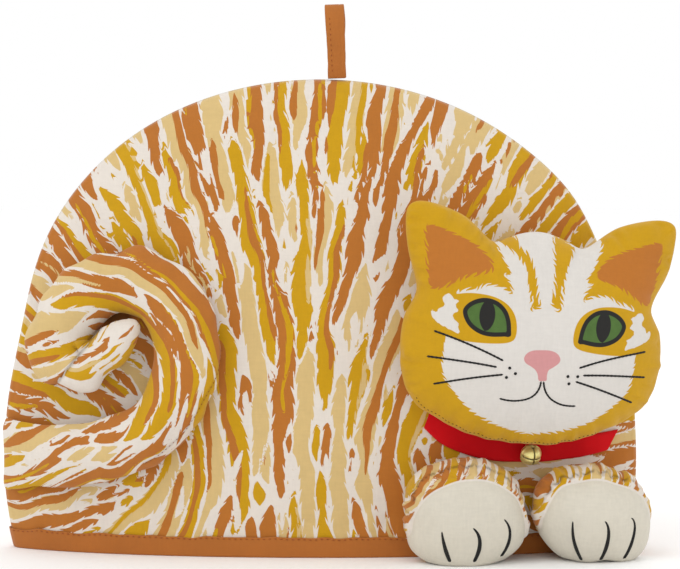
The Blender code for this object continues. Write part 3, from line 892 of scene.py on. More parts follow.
def paint_strokes(seed, chart, x, z, low, high, sizes, shares=COLOUR_SHARES, barbs=1.0):
    """How far each point is inside each colour of a fur print, and the barbs of the stroke it is in.

    x and z are places on the flat cloth and low and high its box, in millimetres.
    """
    rng = np.random.default_rng(seed)
    c, s = chart.flow(x, z)
    scale = chart.scale(c, s)
    c = c + PRINT_MEANDER * ripples(seed + 9, 20, 50, 16)(x, z) / scale
    strokes = lay_strokes(rng, chart, low, high, sizes)
    give_colours(rng, chart, strokes, shares)
    nothing = np.full(len(c), -FAR)
    first, second, owner = nothing.copy(), nothing.copy(), np.zeros(len(c), int)
    coloured = np.tile(nothing, (3, 1))
    turns, reach, gap, off_line = (np.zeros(len(c)) for _ in range(4))
    for i, stroke in enumerate(strokes):
        near = np.nonzero(np.abs(s - stroke["s"]) < stroke["half_length"] + PAST_END)[0]
        inside, side = stroke_inside(stroke, c[near], s[near], scale[near])
        leads = inside > first[near]
        second[near] = np.where(leads, first[near], np.maximum(second[near], inside))
        first[near] = np.maximum(first[near], inside)
        coloured[stroke["colour"], near] = np.maximum(coloured[stroke["colour"], near], inside)
        led = near[leads]
        owner[led] = i
        turns[led] = s[led] / BARB_PITCH + stroke["barb_phase"]
        turns[led] += 0.45 * np.clip(side[leads] / 3 + 0.5, 0, 1)  # the two sides' barbs alternate
        to_end = stroke["half_length"] - np.abs(s[led] - stroke["s"])
        reach[led] = barbs * stroke["reach"] * np.clip(to_end / 8, 0.15, 1)
        gap[led] = stroke["gap"]
        off_line[led] = np.abs(side[leads])
    reach *= np.clip((first - second) / np.maximum(gap, 0.1), 0, 1)
    room = np.minimum(first + PRINT_SPREAD, (first - second - gap) / 2)
    half_width = np.clip(room + off_line, 0, None)  # of the stroke at each point
    reach = np.minimum(reach, 0.2 + 0.7 * half_width)  # barbs are small at the tips
    thin = 0.8 * np.clip(PRINT_THIN - half_width, 0, None)
    room -= thin
    rivals = np.where(coloured >= first, second, first)
    fields = np.minimum(coloured + PRINT_SPREAD, (coloured - rivals - gap) / 2) - thin
    for stroke in inner_strokes(rng, strokes):
        near = np.nonzero(owner == stroke["within"])[0]
        inside, _ = stroke_inside(stroke, c[near], s[near], scale[near])
        inside = np.minimum(inside + INNER_SPREAD, room[near] + 0.7)
        overlap = 0.0 if stroke["colour"] == WHITE else 0.8
        fields[:, near] = np.minimum(fields[:, near], (overlap - inside) * stroke["firm"])
        if stroke["colour"] != WHITE:
            own = fields[stroke["colour"], near]
            fields[stroke["colour"], near] = np.maximum(own, inside * stroke["firm"])
    return np.concatenate([fields, turns[None], reach[None]])


def store_print(mesh, painted):
    """Stores what paint_strokes returns on the points of a mesh."""
    for name, values in zip((*PRINT_FIELDS, "barb_turns", "barb_reach"), painted):
        set_field(mesh, name, values)


# Materials


class Nodes:
    """A material's node tree, with short ways to add and link nodes."""

    def __init__(self, name):
        self.material = bpy.data.materials.new(name)
        self.material.use_nodes = True
        self.tree = self.material.node_tree
        self.shader = self.tree.nodes["Principled BSDF"]

    def add(self, kind, inputs=(), **settings):
        node = self.tree.nodes.new(kind)
        for key, value in settings.items():
            setattr(node, key, value)
        for place, value in dict(inputs).items():
            self.set(node.inputs[place], value)
        return node

    def set(self, socket, value):
        if isinstance(value, bpy.types.NodeSocket):
            self.tree.links.new(value, socket)
        else:
            socket.default_value = value

    def finish(self, **inputs):
        """Links or sets the shader's inputs, named with _ for a space, and returns the material."""
        for name, value in inputs.items():
            self.set(self.shader.inputs[name.replace("_", " ")], value)
        return self.material

    def math(self, operation, a, b=0.0, c=0.0):
        return self.add("ShaderNodeMath", {0: a, 1: b, 2: c}, operation=operation).outputs[0]

    def plus(self, a, b):
        return self.math("ADD", a, b)

    def times(self, a, b):
        return self.math("MULTIPLY", a, b)

    def scaled(self, value, factor, start):
        """The value times a factor, on top of a start."""
        return self.math("MULTIPLY_ADD", value, factor, start)

    def field(self, name):
        return self.add("ShaderNodeAttribute", attribute_name=name).outputs["Fac"]

    def mix(self, share, a, b, blend="MIX"):
        node = self.add("ShaderNodeMix", {0: share, 6: a, 7: b}, data_type="RGBA", blend_type=blend)
        return node.outputs[2]

    def over(self, share, under, colour):
        """The colour laid over what is under it where share is 1."""
        return self.mix(share, under, linear(colour))

    def patchy(self, patches, colour, shade):
        """The colour, brighter or darker by the factor shade where patches is 1."""
        return self.mix(patches, linear(colour), linear([c * shade for c in colour]))

    def bump(self, height, strength, distance):
        inputs = {"Strength": strength, "Distance": distance, "Height": height}
        return self.add("ShaderNodeBump", inputs).outputs[0]

    def step(self, value, width=0.25):
        """0 below zero, 1 above, with an edge of the given width."""
        inputs = {0: value, 1: -width / 2, 2: width / 2, 3: 0.0, 4: 1.0}
        return self.add("ShaderNodeMapRange", inputs, clamp=True).outputs[0]

    def noise(self, scale, detail=2.0, stretch=(1, 1, 1), distortion=0.0):
        """Noise over the object's own space; scale is in features a metre."""
        place = self.add("ShaderNodeTexCoord").outputs["Object"]
        mapped = self.add("ShaderNodeMapping", {"Vector": place, "Scale": stretch}).outputs[0]
        inputs = {"Vector": mapped, "Scale": scale, "Detail": detail, "Distortion": distortion}
        return self.add("ShaderNodeTexNoise", inputs).outputs["Fac"]

    def threads(self, direction, pitch):
        """Parallel threads, a pitch apart, over the object's own space."""
        place = self.add("ShaderNodeTexCoord").outputs["Object"]
        inputs = {"Vector": place, "Scale": math.pi / 10 / pitch, "Distortion": 0.6, "Detail": 1.0}
        inputs["Detail Scale"] = 0.4
        return self.add("ShaderNodeTexWave", inputs, bands_direction=direction).outputs["Fac"]


def finish_cloth(nodes, colour, thread_pitch=0.00062, slub=0.09, roughness=0.85, sheen=0.16, relief=0.35):
    """Gives a colour the weave, slubs, relief and soft sheen of cotton, and wires up the shader."""
    warp = nodes.threads("X", thread_pitch)
    weft = nodes.threads("Z", thread_pitch)
    weave = nodes.times(nodes.plus(warp, weft), 0.5)
    long_slubs = nodes.noise(520, 2.0, (0.28, 1, 1.6))
    tall_slubs = nodes.noise(520, 2.0, (1.6, 1, 0.28))
    slubs = nodes.times(nodes.plus(long_slubs, tall_slubs), 0.5)
    cloudy = nodes.noise(26, 3.0)
    # painted shade: this field darkens the colour below, standing in for the shade in creases, seams and
    # recesses; it also sinks the bump there
    crease_and_shade = nodes.field("crease_and_shade")  # 0 on pieces that don't have it
    shade = nodes.scaled(slubs, slub * 2, 1 - slub)
    shade = nodes.plus(shade, nodes.scaled(weave, 0.04, -0.02))
    shade = nodes.times(shade, nodes.scaled(cloudy, 0.08, 0.96))
    # painted shade in creases and recesses, from the field above
    shade = nodes.times(shade, nodes.scaled(crease_and_shade, -0.75, 1.0))
    tone = nodes.add("ShaderNodeCombineColor", {0: shade, 1: shade, 2: shade}).outputs[0]
    raised = nodes.plus(nodes.times(weave, 0.6), slubs)
    raised = nodes.scaled(crease_and_shade, -3.0, raised)
    return nodes.finish(
        Base_Color=nodes.mix(1.0, colour, tone, "MULTIPLY"),
        Normal=nodes.bump(raised, relief, 0.0003),
        Roughness=nodes.scaled(slubs, 0.12, roughness - 0.06),
        Sheen_Weight=sheen,
        Sheen_Roughness=0.5,
        Specular_IOR_Level=0.25,
    )


def printed_colour(nodes):
    """Brown, mustard and beige strokes with barbed edges, on white."""
    turns = nodes.scaled(nodes.noise(38, 0.0), 1.5, nodes.field("barb_turns"))
    size = nodes.scaled(nodes.noise(75, 0.0), 2.6, -0.6)
    reach = nodes.times(nodes.field("barb_reach"), nodes.math("MAXIMUM", size, 0.12))
    wander = nodes.scaled(nodes.noise(160, 1.0), 1.0, -0.5)
    wander = nodes.scaled(nodes.noise(55, 0.0), 1.6, nodes.plus(wander, -0.62))
    colour = linear(PRINT_WHITE)
    for name, ink in (("beige", PRINT_BEIGE), ("mustard", PRINT_MUSTARD), ("brown", PRINT_BROWN)):
        field = nodes.field(name)
        slanted = nodes.scaled(field, -BARB_SLANT / BARB_PITCH, turns)
        tooth = nodes.math("SUBTRACT", 0.45, nodes.math("FRACT", slanted))
        edge = nodes.plus(field, nodes.times(tooth, reach))
        edge = nodes.plus(edge, wander)
        colour = nodes.mix(nodes.step(edge, 0.2), colour, nodes.patchy(nodes.noise(150, 3.0), ink, 0.95))
    return colour


def make_print_material():
    nodes = Nodes("printed_cotton")
    return finish_cloth(nodes, printed_colour(nodes))


def barbed(nodes, name, pitch, reach, drift):
    """1 within a shape, with saw-toothed edges like fur that lies along the shape's outline."""
    field = nodes.field(name)
    turns = nodes.scaled(nodes.field(name + "_arc"), 1 / pitch, nodes.times(drift, 2.2))
    turns = nodes.scaled(field, 1 / pitch, turns)
    tooth = nodes.math("SUBTRACT", nodes.math("FRACT", turns), 0.5)
    size = nodes.math("MAXIMUM", nodes.scaled(nodes.noise(90, 0.0), 2.6, -0.3), 0.2)
    return nodes.step(nodes.plus(field, nodes.times(nodes.times(tooth, size), reach)))


def make_face_material():
    nodes = Nodes("face_print")
    drift = nodes.noise(130, 2.0)
    mustard = nodes.patchy(nodes.noise(120, 3.0), PRINT_MUSTARD, 0.95)
    colour = nodes.over(barbed(nodes, "ear", 5.0, 1.8, drift), mustard, PRINT_BROWN)
    colour = nodes.over(barbed(nodes, "white", 4.2, 1.7, drift), colour, FACE_WHITE)
    colour = nodes.mix(barbed(nodes, "stripe", 4.6, 2.0, drift), colour, mustard)
    colour = nodes.mix(nodes.step(nodes.field("eye_patch")), colour, mustard)
    cheek = nodes.plus(nodes.field("cheek"), nodes.scaled(nodes.noise(420, 1.0), 1.2, -0.6))
    colour = nodes.over(nodes.step(cheek), colour, FACE_WHITE)
    eye = nodes.field("eye")
    colour = nodes.over(nodes.step(eye), colour, EYE_BLACK)
    iris = nodes.patchy(nodes.noise(230, 3.0), EYE_GREEN, 0.8)
    colour = nodes.mix(nodes.step(nodes.math("SUBTRACT", eye, EYE_LINE)), colour, iris)
    pupil = nodes.math("MINIMUM", nodes.field("pupil"), nodes.plus(eye, -EYE_LINE * 0.3))
    colour = nodes.over(nodes.step(pupil), colour, EYE_BLACK)
    colour = nodes.over(nodes.step(nodes.field("nose")), colour, NOSE_PINK)
    return finish_cloth(nodes, colour)


def make_paw_material():
    nodes = Nodes("paw_cotton")
    toe = nodes.field("toe")
    colour = nodes.over(nodes.step(toe, 0.2), printed_colour(nodes), PRINT_WHITE)
    cream = nodes.patchy(nodes.noise(60, 3.0), TOE_CREAM, 0.96)
    colour = nodes.mix(nodes.step(nodes.plus(toe, -TOE_EDGE_ROLL), 0.3), colour, cream)
    return finish_cloth(nodes, colour, slub=0.11, relief=0.5)


def make_plain_material(name, colour, **finish):
    nodes = Nodes(name)
    return finish_cloth(nodes, nodes.patchy(nodes.noise(60, 3.0), colour, 0.92), **finish)


def make_thread_material(name, colour):
    nodes = Nodes(name)
    twist = nodes.noise(2600, 1.0, (1, 1, 0.4))
    return nodes.finish(
        Base_Color=nodes.patchy(twist, colour, 1.4),
        Normal=nodes.bump(twist, 0.5, 0.0002),
        Roughness=nodes.scaled(twist, 0.2, 0.5),
        Sheen_Weight=0.05,
        Specular_IOR_Level=0.25,
    )


def make_brass_material():
    nodes = Nodes("bell_brass")
    worn = nodes.noise(420, 4.0)
    tone = nodes.mix(worn, linear(BRASS_PALE), linear(BRASS_DEEP))
    scratches = nodes.noise(1500, 3.0, (1, 1, 0.15))
    # painted shade: the slots and the lowest point are coloured dark for the bell's hollow behind them
    return nodes.finish(
        Base_Color=nodes.over(nodes.field("slot"), tone, BELL_SLOT_SHADE),
        Normal=nodes.bump(scratches, 0.12, 0.0002),
        Roughness=nodes.scaled(worn, 0.16, 0.26),
        Metallic=0.6,
    )


def make_floor_material():
    nodes = Nodes("studio_floor")
    grain = nodes.noise(900, 2.0)
    tone = nodes.mix(grain, (0.98, 0.98, 0.98, 1), (1.0, 1.0, 1.0, 1))
    return nodes.finish(Base_Color=tone, Roughness=0.95)


# Panels


def dome_grid():
    """The front dome's face on confocal lines: (columns + 1) x (rings + 1) points, hem to seam."""
    turn = np.linspace(0, math.pi, PANEL_COLUMNS + 1)
    room = HEIGHT - PANEL_FLOOR
    short, tall = np.zeros_like(turn), np.full_like(turn, 6.0)
    for _ in range(50):
        middle = (short + tall) / 2
        x = GRID_FOCUS * np.sqrt(1 + middle**2) * np.cos(turn)
        z = PANEL_FLOOR + GRID_FOCUS * middle * np.sin(turn)
        inside = (np.abs(x) < half_width(z)) & (z - PANEL_FLOOR < room)
        short, tall = np.where(inside, middle, short), np.where(inside, tall, middle)
    share = np.sin(np.linspace(0, 1, PANEL_RINGS + 1) * RING_SWEEP) / math.sin(RING_SWEEP)
    reach = short[:, None] * share[None]
    x = GRID_FOCUS * np.sqrt(1 + reach**2) * np.cos(turn)[:, None]
    z = PANEL_FLOOR + GRID_FOCUS * reach * np.sin(turn)[:, None]
    return x, z


def seam_distance(x, z):
    """How far each point of the grid is from the seam, along its column, and how far round."""
    steps = np.hypot(np.diff(x, axis=1), np.diff(z, axis=1))
    rest = np.cumsum(steps[:, ::-1], axis=1)[:, ::-1]
    inward = np.concatenate([rest, np.zeros((len(x), 1))], axis=1)
    round_the_seam = lengths_along(np.stack([x[:, -1], z[:, -1]], axis=1))
    return inward, np.repeat(round_the_seam[:, None], x.shape[1], axis=1)


def panel_face(x, z, inward, around, seed):
    """How far the cloth stands from the plane of the seam, with its puckers and its ease."""
    turned = np.sqrt(np.clip(1 - (1 - np.clip(inward / SEAM_ROLL, 0, 1)) ** 2, 0, 1))
    stand = depth(x, z) - SEAM_HALF * (1 - turned)
    pull = waves(seed, 0.011, 0.023, 9, around)
    pucker = 0.00055 * pull * np.exp(-inward / 0.011) * smooth_step(inward, 0, 0.004)
    loose = 0.0007 * ripples(seed + 1, 0.05, 0.12)(x, z) * smooth_step(inward, 0, 0.03)
    pinch = 0.00027 * hump(inward, 0.0035, 0.0022)
    above_hem = smooth_step(z, 0.0105, 0.028)
    hem_pull = 0.00045 * waves(seed + 2, 0.013, 0.03, 9, x) * hump(z, 0.019, 0.006)
    give = (pucker + loose) * above_hem + hem_pull
    return np.maximum(stand + give - pinch, GAP / 2)


def lining_points(x, z):
    """The inner face's coarser grid, a wadding's thickness inside the outer one's."""
    x = x[::LINING_STEP, ::LINING_STEP]
    z = z[::LINING_STEP, ::LINING_STEP]
    z = PANEL_FLOOR + (z - PANEL_FLOOR) * (1 - WADDED_CLOTH / HEIGHT)
    y = -np.maximum(depth(x, z) - SEAM_HALF * 0.4 - WADDED_CLOTH, GAP / 2)
    y[:, -1] = -GAP / 2
    return np.stack([x * LINING_SHRINK, y, z], axis=2)


def rim_faces(columns, rings, inner_columns, inner_rings):
    """Closes the panel between its face's grid and its lining's, along the seam and the hem."""

    def at(c, r):
        return c * rings + r

    def lining_at(c, r):
        return columns * rings + c * inner_rings + r

    step = LINING_STEP
    closing = []
    for c in range(inner_columns - 1):
        top = [at(c * step + k, rings - 1) for k in range(step, -1, -1)]
        closing.append((*top, lining_at(c, inner_rings - 1), lining_at(c + 1, inner_rings - 1)))
        hem = [at(c * step + k, 0) for k in range(step + 1)]
        closing.append((*hem, lining_at(c + 1, 0), lining_at(c, 0)))
    for r in range(inner_rings - 1):
        right = [at(0, r * step + k) for k in range(step, -1, -1)]
        closing.append((*right, lining_at(0, r), lining_at(0, r + 1)))
        left = [at(columns - 1, r * step + k) for k in range(step + 1)]
        closing.append((*left, lining_at(inner_columns - 1, r + 1), lining_at(inner_columns - 1, r)))
    return closing


def print_panel(mesh, points, seed, back):
    """The fur print. On the front panel, what shows within the tail's curl is brown, darkened by painted
    shade.
    """
    x, z = points[:, 0] / MM, points[:, 2] / MM
    half, top = HALF_WIDTH / MM, HEIGHT / MM
    painted = paint_strokes(seed, Fan(), x, z, (-half, 0), (half, top), BODY_STROKES)
    if not back:
        hole = TAIL_HOLE_RADIUS - np.hypot(x - TAIL_HOLE[0], z - TAIL_HOLE[1])
        painted[:3] = np.minimum(painted[:3], -hole)
        painted[BROWN] = np.maximum(painted[BROWN], hole)
        # painted shade: the field darkens the panel in the recess within the tail's curl
        set_field(mesh, "crease_and_shade", 0.8 * smooth_step(hole, 0, 5))
    store_print(mesh, painted)


def add_panel(name, seed, print_seed, back, materials):
    """One wadded panel: a fine printed face and a coarser lining, closed along hem and seam."""
    x, z = dome_grid()
    inward, around = seam_distance(x, z)
    y = -panel_face(x, z, inward, around, seed)
    y[:, -1] = -GAP / 2
    outer = np.stack([x, y, z], axis=2)
    inner = lining_points(x, z)
    points = np.concatenate([outer.reshape(-1, 3), inner.reshape(-1, 3)])
    points[:, 0] = lopsided(points[:, 0], points[:, 2])
    if back:
        points[:, 1] *= -1
    faces = quads(*x.shape)
    lining = [tuple(x.size + i for i in reversed(face)) for face in quads(*inner.shape[:2])]
    closing = rim_faces(*x.shape, *inner.shape[:2])
    mesh = mesh_from(name + "_cloth", points, faces + lining + closing)
    print_panel(mesh, points, print_seed, back)
    piece = add_piece(mesh, materials, (name,))
    hidden = np.zeros(len(mesh.polygons), dtype=np.int32)
    hidden[len(faces) :] = 1
    mesh.polygons.foreach_set("material_index", hidden)
    return piece


# Stuffed pieces


def membrane(points, triangles, fixed):
    """How high a soap film would stand over the outline: the shape that stuffing gives cloth."""
    count = len(points)
    stiffness = np.zeros((count, count))
    load = np.zeros(count)
    for k in range(3):
        i, j, opposite = triangles[:, k], triangles[:, (k + 1) % 3], triangles[:, (k + 2) % 3]
        a, b = points[i] - points[opposite], points[j] - points[opposite]
        area = np.abs(a[:, 0] * b[:, 1] - a[:, 1] * b[:, 0])
        weight = np.einsum("ij,ij->i", a, b) / np.maximum(area, 1e-12) / 2
        for first, second, sign in ((i, j, -1), (j, i, -1), (i, i, 1), (j, j, 1)):
            np.add.at(stiffness, (first, second), sign * weight)
        np.add.at(load, i, area / 6)
    free = ~fixed
    height = np.zeros(count)
    height[free] = np.linalg.solve(stiffness[np.ix_(free, free)], load[free])
    return height / height.max()


def polar_faces(rings, sides):
    """A pole and rings round it: quads between rings, triangles at the pole (vertex 0)."""
    faces = [tuple(i + 1 for i in face) for face in quads(rings, sides, wrap_columns=True)]
    faces += [(0, 1 + (s + 1) % sides, 1 + s) for s in range(sides)]
    return faces


def cushion(name, loop, rings, front, back, fullness, place, in_front):
    """A stuffed form between two cloths sewn together along a loop of (across, up) points."""
    sides = len(loop)
    shares = np.sin(math.pi / 2 * np.arange(1, rings + 1) / rings)
    flat = np.concatenate([[[0, 0]], *(share * loop for share in shares)])
    faces = polar_faces(rings, sides)
    triangles = [face for face in faces if len(face) == 3]
    for a, b, c, d in (face for face in faces if len(face) == 4):
        triangles += [(a, b, c), (a, c, d)]
    fixed = np.zeros(len(flat), bool)
    fixed[-sides:] = True
    rise = membrane(flat, np.array(triangles), fixed) ** fullness
    ahead = np.stack([flat[:, 0], -front * rise, flat[:, 1]], axis=1)
    behind = np.stack([flat[:, 0], back * rise, flat[:, 1]], axis=1)[:-sides]
    start = len(ahead)
    seam = start - sides

    def other_side(i):
        return i if i >= seam else i + start

    faces += [tuple(other_side(i) for i in reversed(face)) for face in list(faces)]
    points = rest_against(placed(np.concatenate([ahead, behind]), place), in_front)
    mesh = mesh_from(name, points, faces)
    ends = edge_ends(mesh)
    keep_crisp(mesh, ((ends >= seam) & (ends < start)).all(axis=1), 0.75)
    return subdivided(mesh, 2)


def rest_against(points, in_front):
    """Keeps points in front of the panel, or of the binding, and above the floor."""
    points = points.copy()
    limit = -depth(points[:, 0], points[:, 2]) - in_front(points[:, 2])
    points[:, 1] = np.minimum(points[:, 1], limit)
    points[:, 2] = np.maximum(points[:, 2], 0)
    return points


def displace(mesh, move, in_front):
    """Moves points along their normals, still clear of the panel and the floor."""
    points = point_array(mesh) + normal_array(mesh) * move[:, None]
    put_points(mesh, rest_against(points, in_front))


def panel_gap(z):
    return np.full_like(z, SOFT_GAP)


def binding_gap(z):
    """Room for the panel's binding near the floor, and none above it."""
    return SOFT_GAP + (GAP + BINDING_CLOTH) * np.clip(2 - z / BINDING_ROOM, 0, 1)


def local_plane(points, place):
    """(across, up) of points in a stuffed piece's own frame, and how far they are in front."""
    turned = (points - np.array(place.translation)) @ np.array(place.to_3x3())
    return turned[:, 0], turned[:, 2], -turned[:, 1]


def gather_head(mesh, place):
    """Draws the head's cloth in along its seam in short, uneven gathers."""
    x, z, _ = local_plane(point_array(mesh), place)
    inward, around = outline_fields(x, z, head_loop(240))
    inward = np.maximum(inward, 0)
    gathers = waves(HEAD_SEED, 0.007, 0.016, 10, around)
    soft = ripples(HEAD_SEED + 1, 0.03, 0.07)(x, z)
    size = HEAD_GATHERS * np.exp(-inward / HEAD_GATHER_REACH)
    size *= smooth_step(inward, 0.0, HEAD_GATHER_REACH * 0.35)
    displace(mesh, size * gathers + 0.0004 * soft * smooth_step(inward, 0, 0.02), panel_gap)


def head_place():
    turn = Matrix.Rotation(HEAD_YAW, 4, "Z") @ Matrix.Rotation(HEAD_ROLL, 4, "Y")
    return Matrix.Translation(HEAD_CENTRE) @ turn


def head_loop(samples):
    right = [(across, up) for _, across, up in HEAD_OUTLINE]
    left = [(-across, up) for across, _, up in reversed(HEAD_OUTLINE[1:-1])]
    loop = evenly(through(right + left, 600, closed=True) * MM, 480, closed=True)
    ahead = unit(np.roll(loop, -1, axis=0) - np.roll(loop, 1, axis=0))
    scallop = HEAD_SCALLOP * waves(HEAD_SEED + 2, 0.008, 0.014, 7, lengths_along(loop))
    scallop *= smooth_step(-loop[:, 1], 0, 0.02)
    loop = loop + np.stack([ahead[:, 1], -ahead[:, 0]], axis=1) * scallop[:, None]
    return evenly(loop, samples, closed=True)


def add_head(face_material, black_thread, dark_thread):
    place = head_place()
    loop = head_loop(112)
    mesh = cushion("head_cushion", loop, 16, HEAD_FRONT, HEAD_BACK, HEAD_FULLNESS, place, panel_gap)
    gather_head(mesh, place)
    paint_face(mesh, place)
    surface = Surface(mesh, place)
    add_face_threads(surface, black_thread)
    add_head_topstitch(surface, dark_thread)
    piece = add_piece(mesh, [face_material], ("head",))
    return piece


def paint_face(mesh, place):
    """Stores how far each point is inside each shape of the face, in millimetres."""
    x, z, out = local_plane(point_array(mesh), place)
    signed = (x / MM - FACE_MIDDLE) * math.cos(FACE_TURN) - z / MM * math.sin(FACE_TURN)
    up = (x / MM - FACE_MIDDLE) * math.sin(FACE_TURN) + z / MM * math.cos(FACE_TURN)
    across = np.abs(signed)
    behind = out < -MM
    shapes = (
        # field, and for each table the distances across: mirrored, to the right or to the left
        ("white", ((WHITE_MIDDLE, across),)),
        ("stripe", ((LEFT_BROW_STRIPE, -signed), (RIGHT_BROW_STRIPE, signed))),
        ("ear", ((INNER_EAR, np.abs(x / MM - EAR_MIDDLE)),)),
        ("eye_patch", ((EYE_PATCH, across),)),
        ("cheek", ((WHITE_CHEEK, across),)),
        ("eye", ((EYE, across),)),
        ("nose", ((NOSE, signed),)),
    )
    for name, tables in shapes:
        inside, arc = np.full(len(x), -FAR), np.zeros(len(x))
        for table, sideways in tables:
            height = z / MM if name == "ear" else up
            outline = through(table, 160, closed=True)
            shape_inside, shape_arc = outline_fields(sideways, height, outline)
            nearer = shape_inside > inside
            inside, arc = np.where(nearer, shape_inside, inside), np.where(nearer, shape_arc, arc)
        set_field(mesh, name, np.where(behind, -FAR, inside))
        if name in ("white", "stripe", "ear"):
            set_field(mesh, name + "_arc", arc)
    wide, tall = PUPIL_HALF
    side, rise = across - PUPIL_MIDDLE[0], (up - PUPIL_MIDDLE[1]) / tall
    half = wide * np.clip(1 - np.abs(rise) ** 2.2, 0, 1) ** 0.8
    pupil = half - np.abs(side) - 6 * np.clip(np.abs(rise) - 1, 0, 9)
    set_field(mesh, "pupil", np.where(behind, -FAR, pupil))


class Surface:
    """The front of a stuffed piece, to lay threads on."""

    def __init__(self, mesh, place):
        self.place = place
        self.tree = BVHTree.FromPolygons(
            [Vector(p) for p in point_array(mesh)], [tuple(face.vertices) for face in mesh.polygons]
        )
        self.ahead = (place.to_3x3() @ Vector((0, 1, 0))).normalized()

    def lay(self, line, lift):
        """Points (across, up), in metres in the piece's plane, brought onto its front."""
        laid = []
        for (x, z), rise in zip(line, np.broadcast_to(lift, len(line))):
            start = self.place @ Vector((x, -0.2, z))
            hit, normal, _, _ = self.tree.ray_cast(start, self.ahead)
            if hit is not None:
                laid.append(hit + normal * float(rise))
        return np.array([tuple(point) for point in laid])


def stitched_line(surface, line, radius, stitch):
    """One embroidered line: a thread whose thickness swells at each stitch."""
    length = lengths_along(line)[-1]
    count = max(int(length / 0.0005), 6)
    even = evenly(line, count, closed=False)
    laid = surface.lay(even, radius * 0.25)
    along = lengths_along(laid)
    swell = 1 - 0.22 * np.abs(np.cos(math.pi * along / stitch))
    taper = np.sqrt(np.clip(np.minimum(along, along[-1] - along) / (radius * 1.6), 0.02, 1))
    return thread_points(laid, radius * swell * taper)


def bow(ends_and_middle, samples):
    """A smooth curve from the first to the last of three points, through the one in the middle."""
    start, middle, end = np.array(ends_and_middle, float)
    share = np.linspace(0, 1, samples)[:, None]
    pull = 2 * middle - (start + end) / 2
    return (1 - share) ** 2 * start + 2 * share * (1 - share) * pull + share**2 * end


def on_head(points):
    """(across, up) of the face's drawing, in millimetres, in metres in the head's own plane."""
    across, up = np.array(points, float).T
    x = FACE_MIDDLE + across * math.cos(FACE_TURN) + up * math.sin(FACE_TURN)
    z = up * math.cos(FACE_TURN) - across * math.sin(FACE_TURN)
    return np.stack([x, z], axis=1) * MM


def add_face_threads(surface, material):
    parts = []
    for side in (1, -1):
        for whisker in WHISKERS:
            line = on_head(bow(whisker, 30) * (side, 1))
            parts.append(stitched_line(surface, line, WHISKER_THREAD, WHISKER_STITCH))
    for mouth in (LEFT_MOUTH, RIGHT_MOUTH):
        line = on_head(through(mouth, 60, closed=False))
        parts.append(stitched_line(surface, line, MOUTH_THREAD, MOUTH_STITCH))
    roundness = np.sqrt(1 - np.linspace(-0.96, 0.96, 7) ** 2)
    for across, up in WHISKER_DOTS:
        dot = on_head([(across - 0.85, up), (across, up), (across + 0.85, up)])
        laid = surface.lay(dot, 0.0001)
        parts.append(thread_points(evenly(laid, 7, closed=False), 0.0009 * roundness))
    mesh = join_parts("face_threads", parts)
    return add_piece(mesh, [material])


def stitch_row(laid, dash, gap, radius):
    """Short stitches along a line of surface points, each dipping into the cloth at its ends."""
    along = lengths_along(laid)
    parts = []
    start = 0.0
    shape = np.linspace(-1, 1, 7)
    while start + dash < along[-1]:
        places = start + dash * (shape + 1) / 2
        line = np.stack([np.interp(places, along, laid[:, k]) for k in range(3)], axis=1)
        line[:, 1] += radius * (1.1 * shape**4 - 0.35)
        parts.append(thread_points(line, radius * np.sqrt(1 - (0.93 * shape) ** 2), sides=6))
        start += dash + gap
    return parts


def add_head_topstitch(surface, material):
    """A row of stitches a little inside the lower edge of the head."""
    inner = head_loop(240) * HEAD_STITCH_INSET
    angle = np.degrees(np.arctan2(inner[:, 1], inner[:, 0]))
    lower = inner[(angle > HEAD_STITCHED[0]) & (angle < HEAD_STITCHED[1])]
    lower = lower[np.argsort(lower[:, 0])]
    laid = surface.lay(evenly(lower, 260, closed=False), 0.0)
    mesh = join_parts("head_topstitch", stitch_row(laid, *HEAD_STITCH))
    return add_piece(mesh, [material])


def add_paw(name, outline, out, yaw, toe_edge, claws, seed, materials, black_thread):
    """A stuffed paw, set upright in front of the hem."""
    middle = np.mean(np.array(outline, float), axis=0)
    place = Matrix.Translation((middle[0] * MM, -out, middle[1] * MM)) @ Matrix.Rotation(yaw, 4, "Z")
    turned = [((x - middle[0]) / math.cos(yaw), z - middle[1]) for x, z in outline]
    loop = evenly(through(turned, 400, closed=True) * MM, 80, closed=True)
    mesh = cushion(name + "_cushion", loop, 12, PAW_FRONT, PAW_BACK, PAW_FULLNESS, place, binding_gap)
    x, z, front = local_plane(point_array(mesh), place)
    lower_edge = [(toe_edge[-1][0] + 6, -60), (toe_edge[0][0] - 6, -60)]
    toe_loop = np.concatenate([through(toe_edge, 90, closed=False), lower_edge])
    toe, toe_arc = outline_fields(x / MM, z / MM, toe_loop)
    toe = np.where(front < -MM, -FAR, toe)
    gather_paw(mesh, toe, toe_arc, seed)
    set_field(mesh, "toe", toe)
    inward, around = outline_fields(x / MM, z / MM, loop / MM)
    rough = 0.7 + 0.5 * waves(seed + 5, 2.5, 6, 8, around)
    top_seam_groove_shade = hump(inward, 2.4 + rough, 0.6) * np.clip(rough, 0.2, 1) * (z > 0.006)
    # painted shade along the paw's top seam, which also sinks the bump there
    set_field(mesh, "crease_and_shade", 0.8 * top_seam_groove_shade * (toe < -2) * (front > 0))
    print_paw(mesh, x / MM, z / MM, seed)
    add_claws(name, Surface(mesh, place), claws, black_thread)
    piece = add_piece(mesh, materials, (name,))
    return piece


def print_paw(mesh, x, z, seed):
    """The fur print, smaller than on the body and leaning to the right."""
    lean, rise = (x - PRINT_LEAN * z) / PAW_PRINT_SIZE, z / PAW_PRINT_SIZE
    low, high = PAW_PRINT_BOX
    painted = paint_strokes(seed, Straight(), lean, rise, low, high, PAW_STROKES, PAW_SHARES, SMALL_BARBS)
    painted[:3] *= PAW_PRINT_SIZE
    store_print(mesh, painted)


